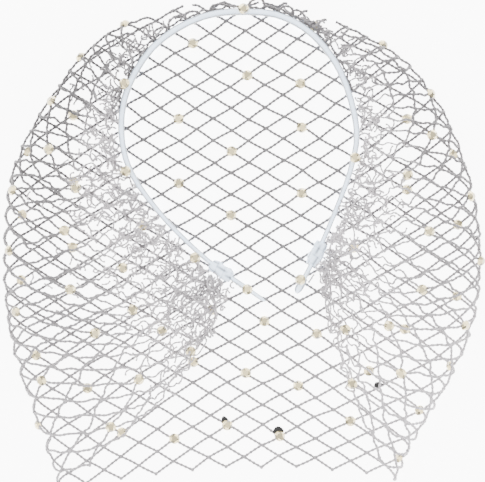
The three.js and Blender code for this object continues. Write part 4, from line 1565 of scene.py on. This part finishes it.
class VEIL_OT_flecks(bpy.types.Operator):
    """Models the three dark flecks near the hem"""

    bl_idname = "veil.flecks"
    bl_label = "Dark flecks"

    def execute(self, context):
        piece = join_pieces([fleck_piece(fleck) for fleck in FLECKS])
        piece.name = "dark_flecks"
        bpy.ops.object.origin_set(type="ORIGIN_CURSOR")
        shade(piece, FLECK_SMOOTH_BELOW)
        finish_piece(piece, fleck_material(context.scene.veil_colours))
        return {"FINISHED"}


# The stage


class VEIL_OT_stage(bpy.types.Operator):
    """Lays the floor and sets the light and the camera, which looks straight down"""

    bl_idname = "veil.stage"
    bl_label = "Stage"

    def execute(self, context):
        scene = context.scene
        select_only()
        bpy.ops.mesh.primitive_plane_add(size=FLOOR_SIZE, location=(0, 0, 0))
        floor = bpy.context.object
        floor.name = "floor"
        floor.data.materials.append(floor_material(scene.veil_colours))

        world = bpy.data.worlds.new("soft_room")
        scene.world = world
        world.use_nodes = True
        background = world.node_tree.nodes["Background"]
        background.inputs["Color"].default_value = (1.0, 1.0, 1.0, 1.0)
        background.inputs["Strength"].default_value = ROOM_LIGHT

        bpy.ops.object.light_add(type="AREA", location=KEY_PLACE)
        key = bpy.context.object
        key.name = "key_light"
        key.data.shape = "DISK"
        key.data.size = KEY_SIZE
        key.data.energy = KEY_WATTS
        key.rotation_euler = Vector(KEY_PLACE).to_track_quat("Z", "Y").to_euler()

        x, y, _ = to_frame([*PHOTO_CENTRE, 0])
        bpy.ops.object.camera_add(location=(x, y, CAMERA_HEIGHT), rotation=(0, 0, 0))
        camera = bpy.context.object
        camera.name = "photo_camera"
        camera.data.sensor_width = SENSOR
        camera.data.lens = SENSOR * CAMERA_HEIGHT / (PHOTO_WIDTH * PHOTO_SCALE * MM)
        camera.data.clip_end = CAMERA_SIGHT
        scene.camera = camera
        return {"FINISHED"}


class VEIL_PT_panel(bpy.types.Panel):
    """Sizes, colours and build steps of the veil headband"""

    bl_idname = "VEIL_PT_panel"
    bl_label = "Veil Headband"
    bl_space_type = "VIEW_3D"
    bl_region_type = "UI"
    bl_category = "Veil"

    def draw(self, context):
        layout = self.layout
        for group in (context.scene.veil_sizes, context.scene.veil_colours):
            box = layout.box()
            for name in group.bl_rna.properties.keys():
                if name not in ("rna_type", "name"):
                    box.prop(group, name)
        column = layout.column(align=True)
        for operator in OPERATORS:
            column.operator(operator.bl_idname)


OPERATORS = (
    VEIL_OT_band,
    VEIL_OT_ends,
    VEIL_OT_net,
    VEIL_OT_loops,
    VEIL_OT_ruffles,
    VEIL_OT_crystals,
    VEIL_OT_flecks,
    VEIL_OT_stage,
)
CLASSES = (VeilSizes, VeilColours, *OPERATORS, VEIL_PT_panel)


def register():
    for one in CLASSES:
        bpy.utils.register_class(one)
    bpy.types.Scene.veil_sizes = PointerProperty(type=VeilSizes)
    bpy.types.Scene.veil_colours = PointerProperty(type=VeilColours)


def unregister():
    del bpy.types.Scene.veil_colours
    del bpy.types.Scene.veil_sizes
    for one in reversed(CLASSES):
        bpy.utils.unregister_class(one)


def main():
    register()
    for operator in (
        bpy.ops.veil.band,
        bpy.ops.veil.ends,
        bpy.ops.veil.net,
        bpy.ops.veil.loops,
        bpy.ops.veil.ruffles,
        bpy.ops.veil.crystals,
        bpy.ops.veil.flecks,
        bpy.ops.veil.stage,
    ):
        operator()


if __name__ == "__main__":
    main()
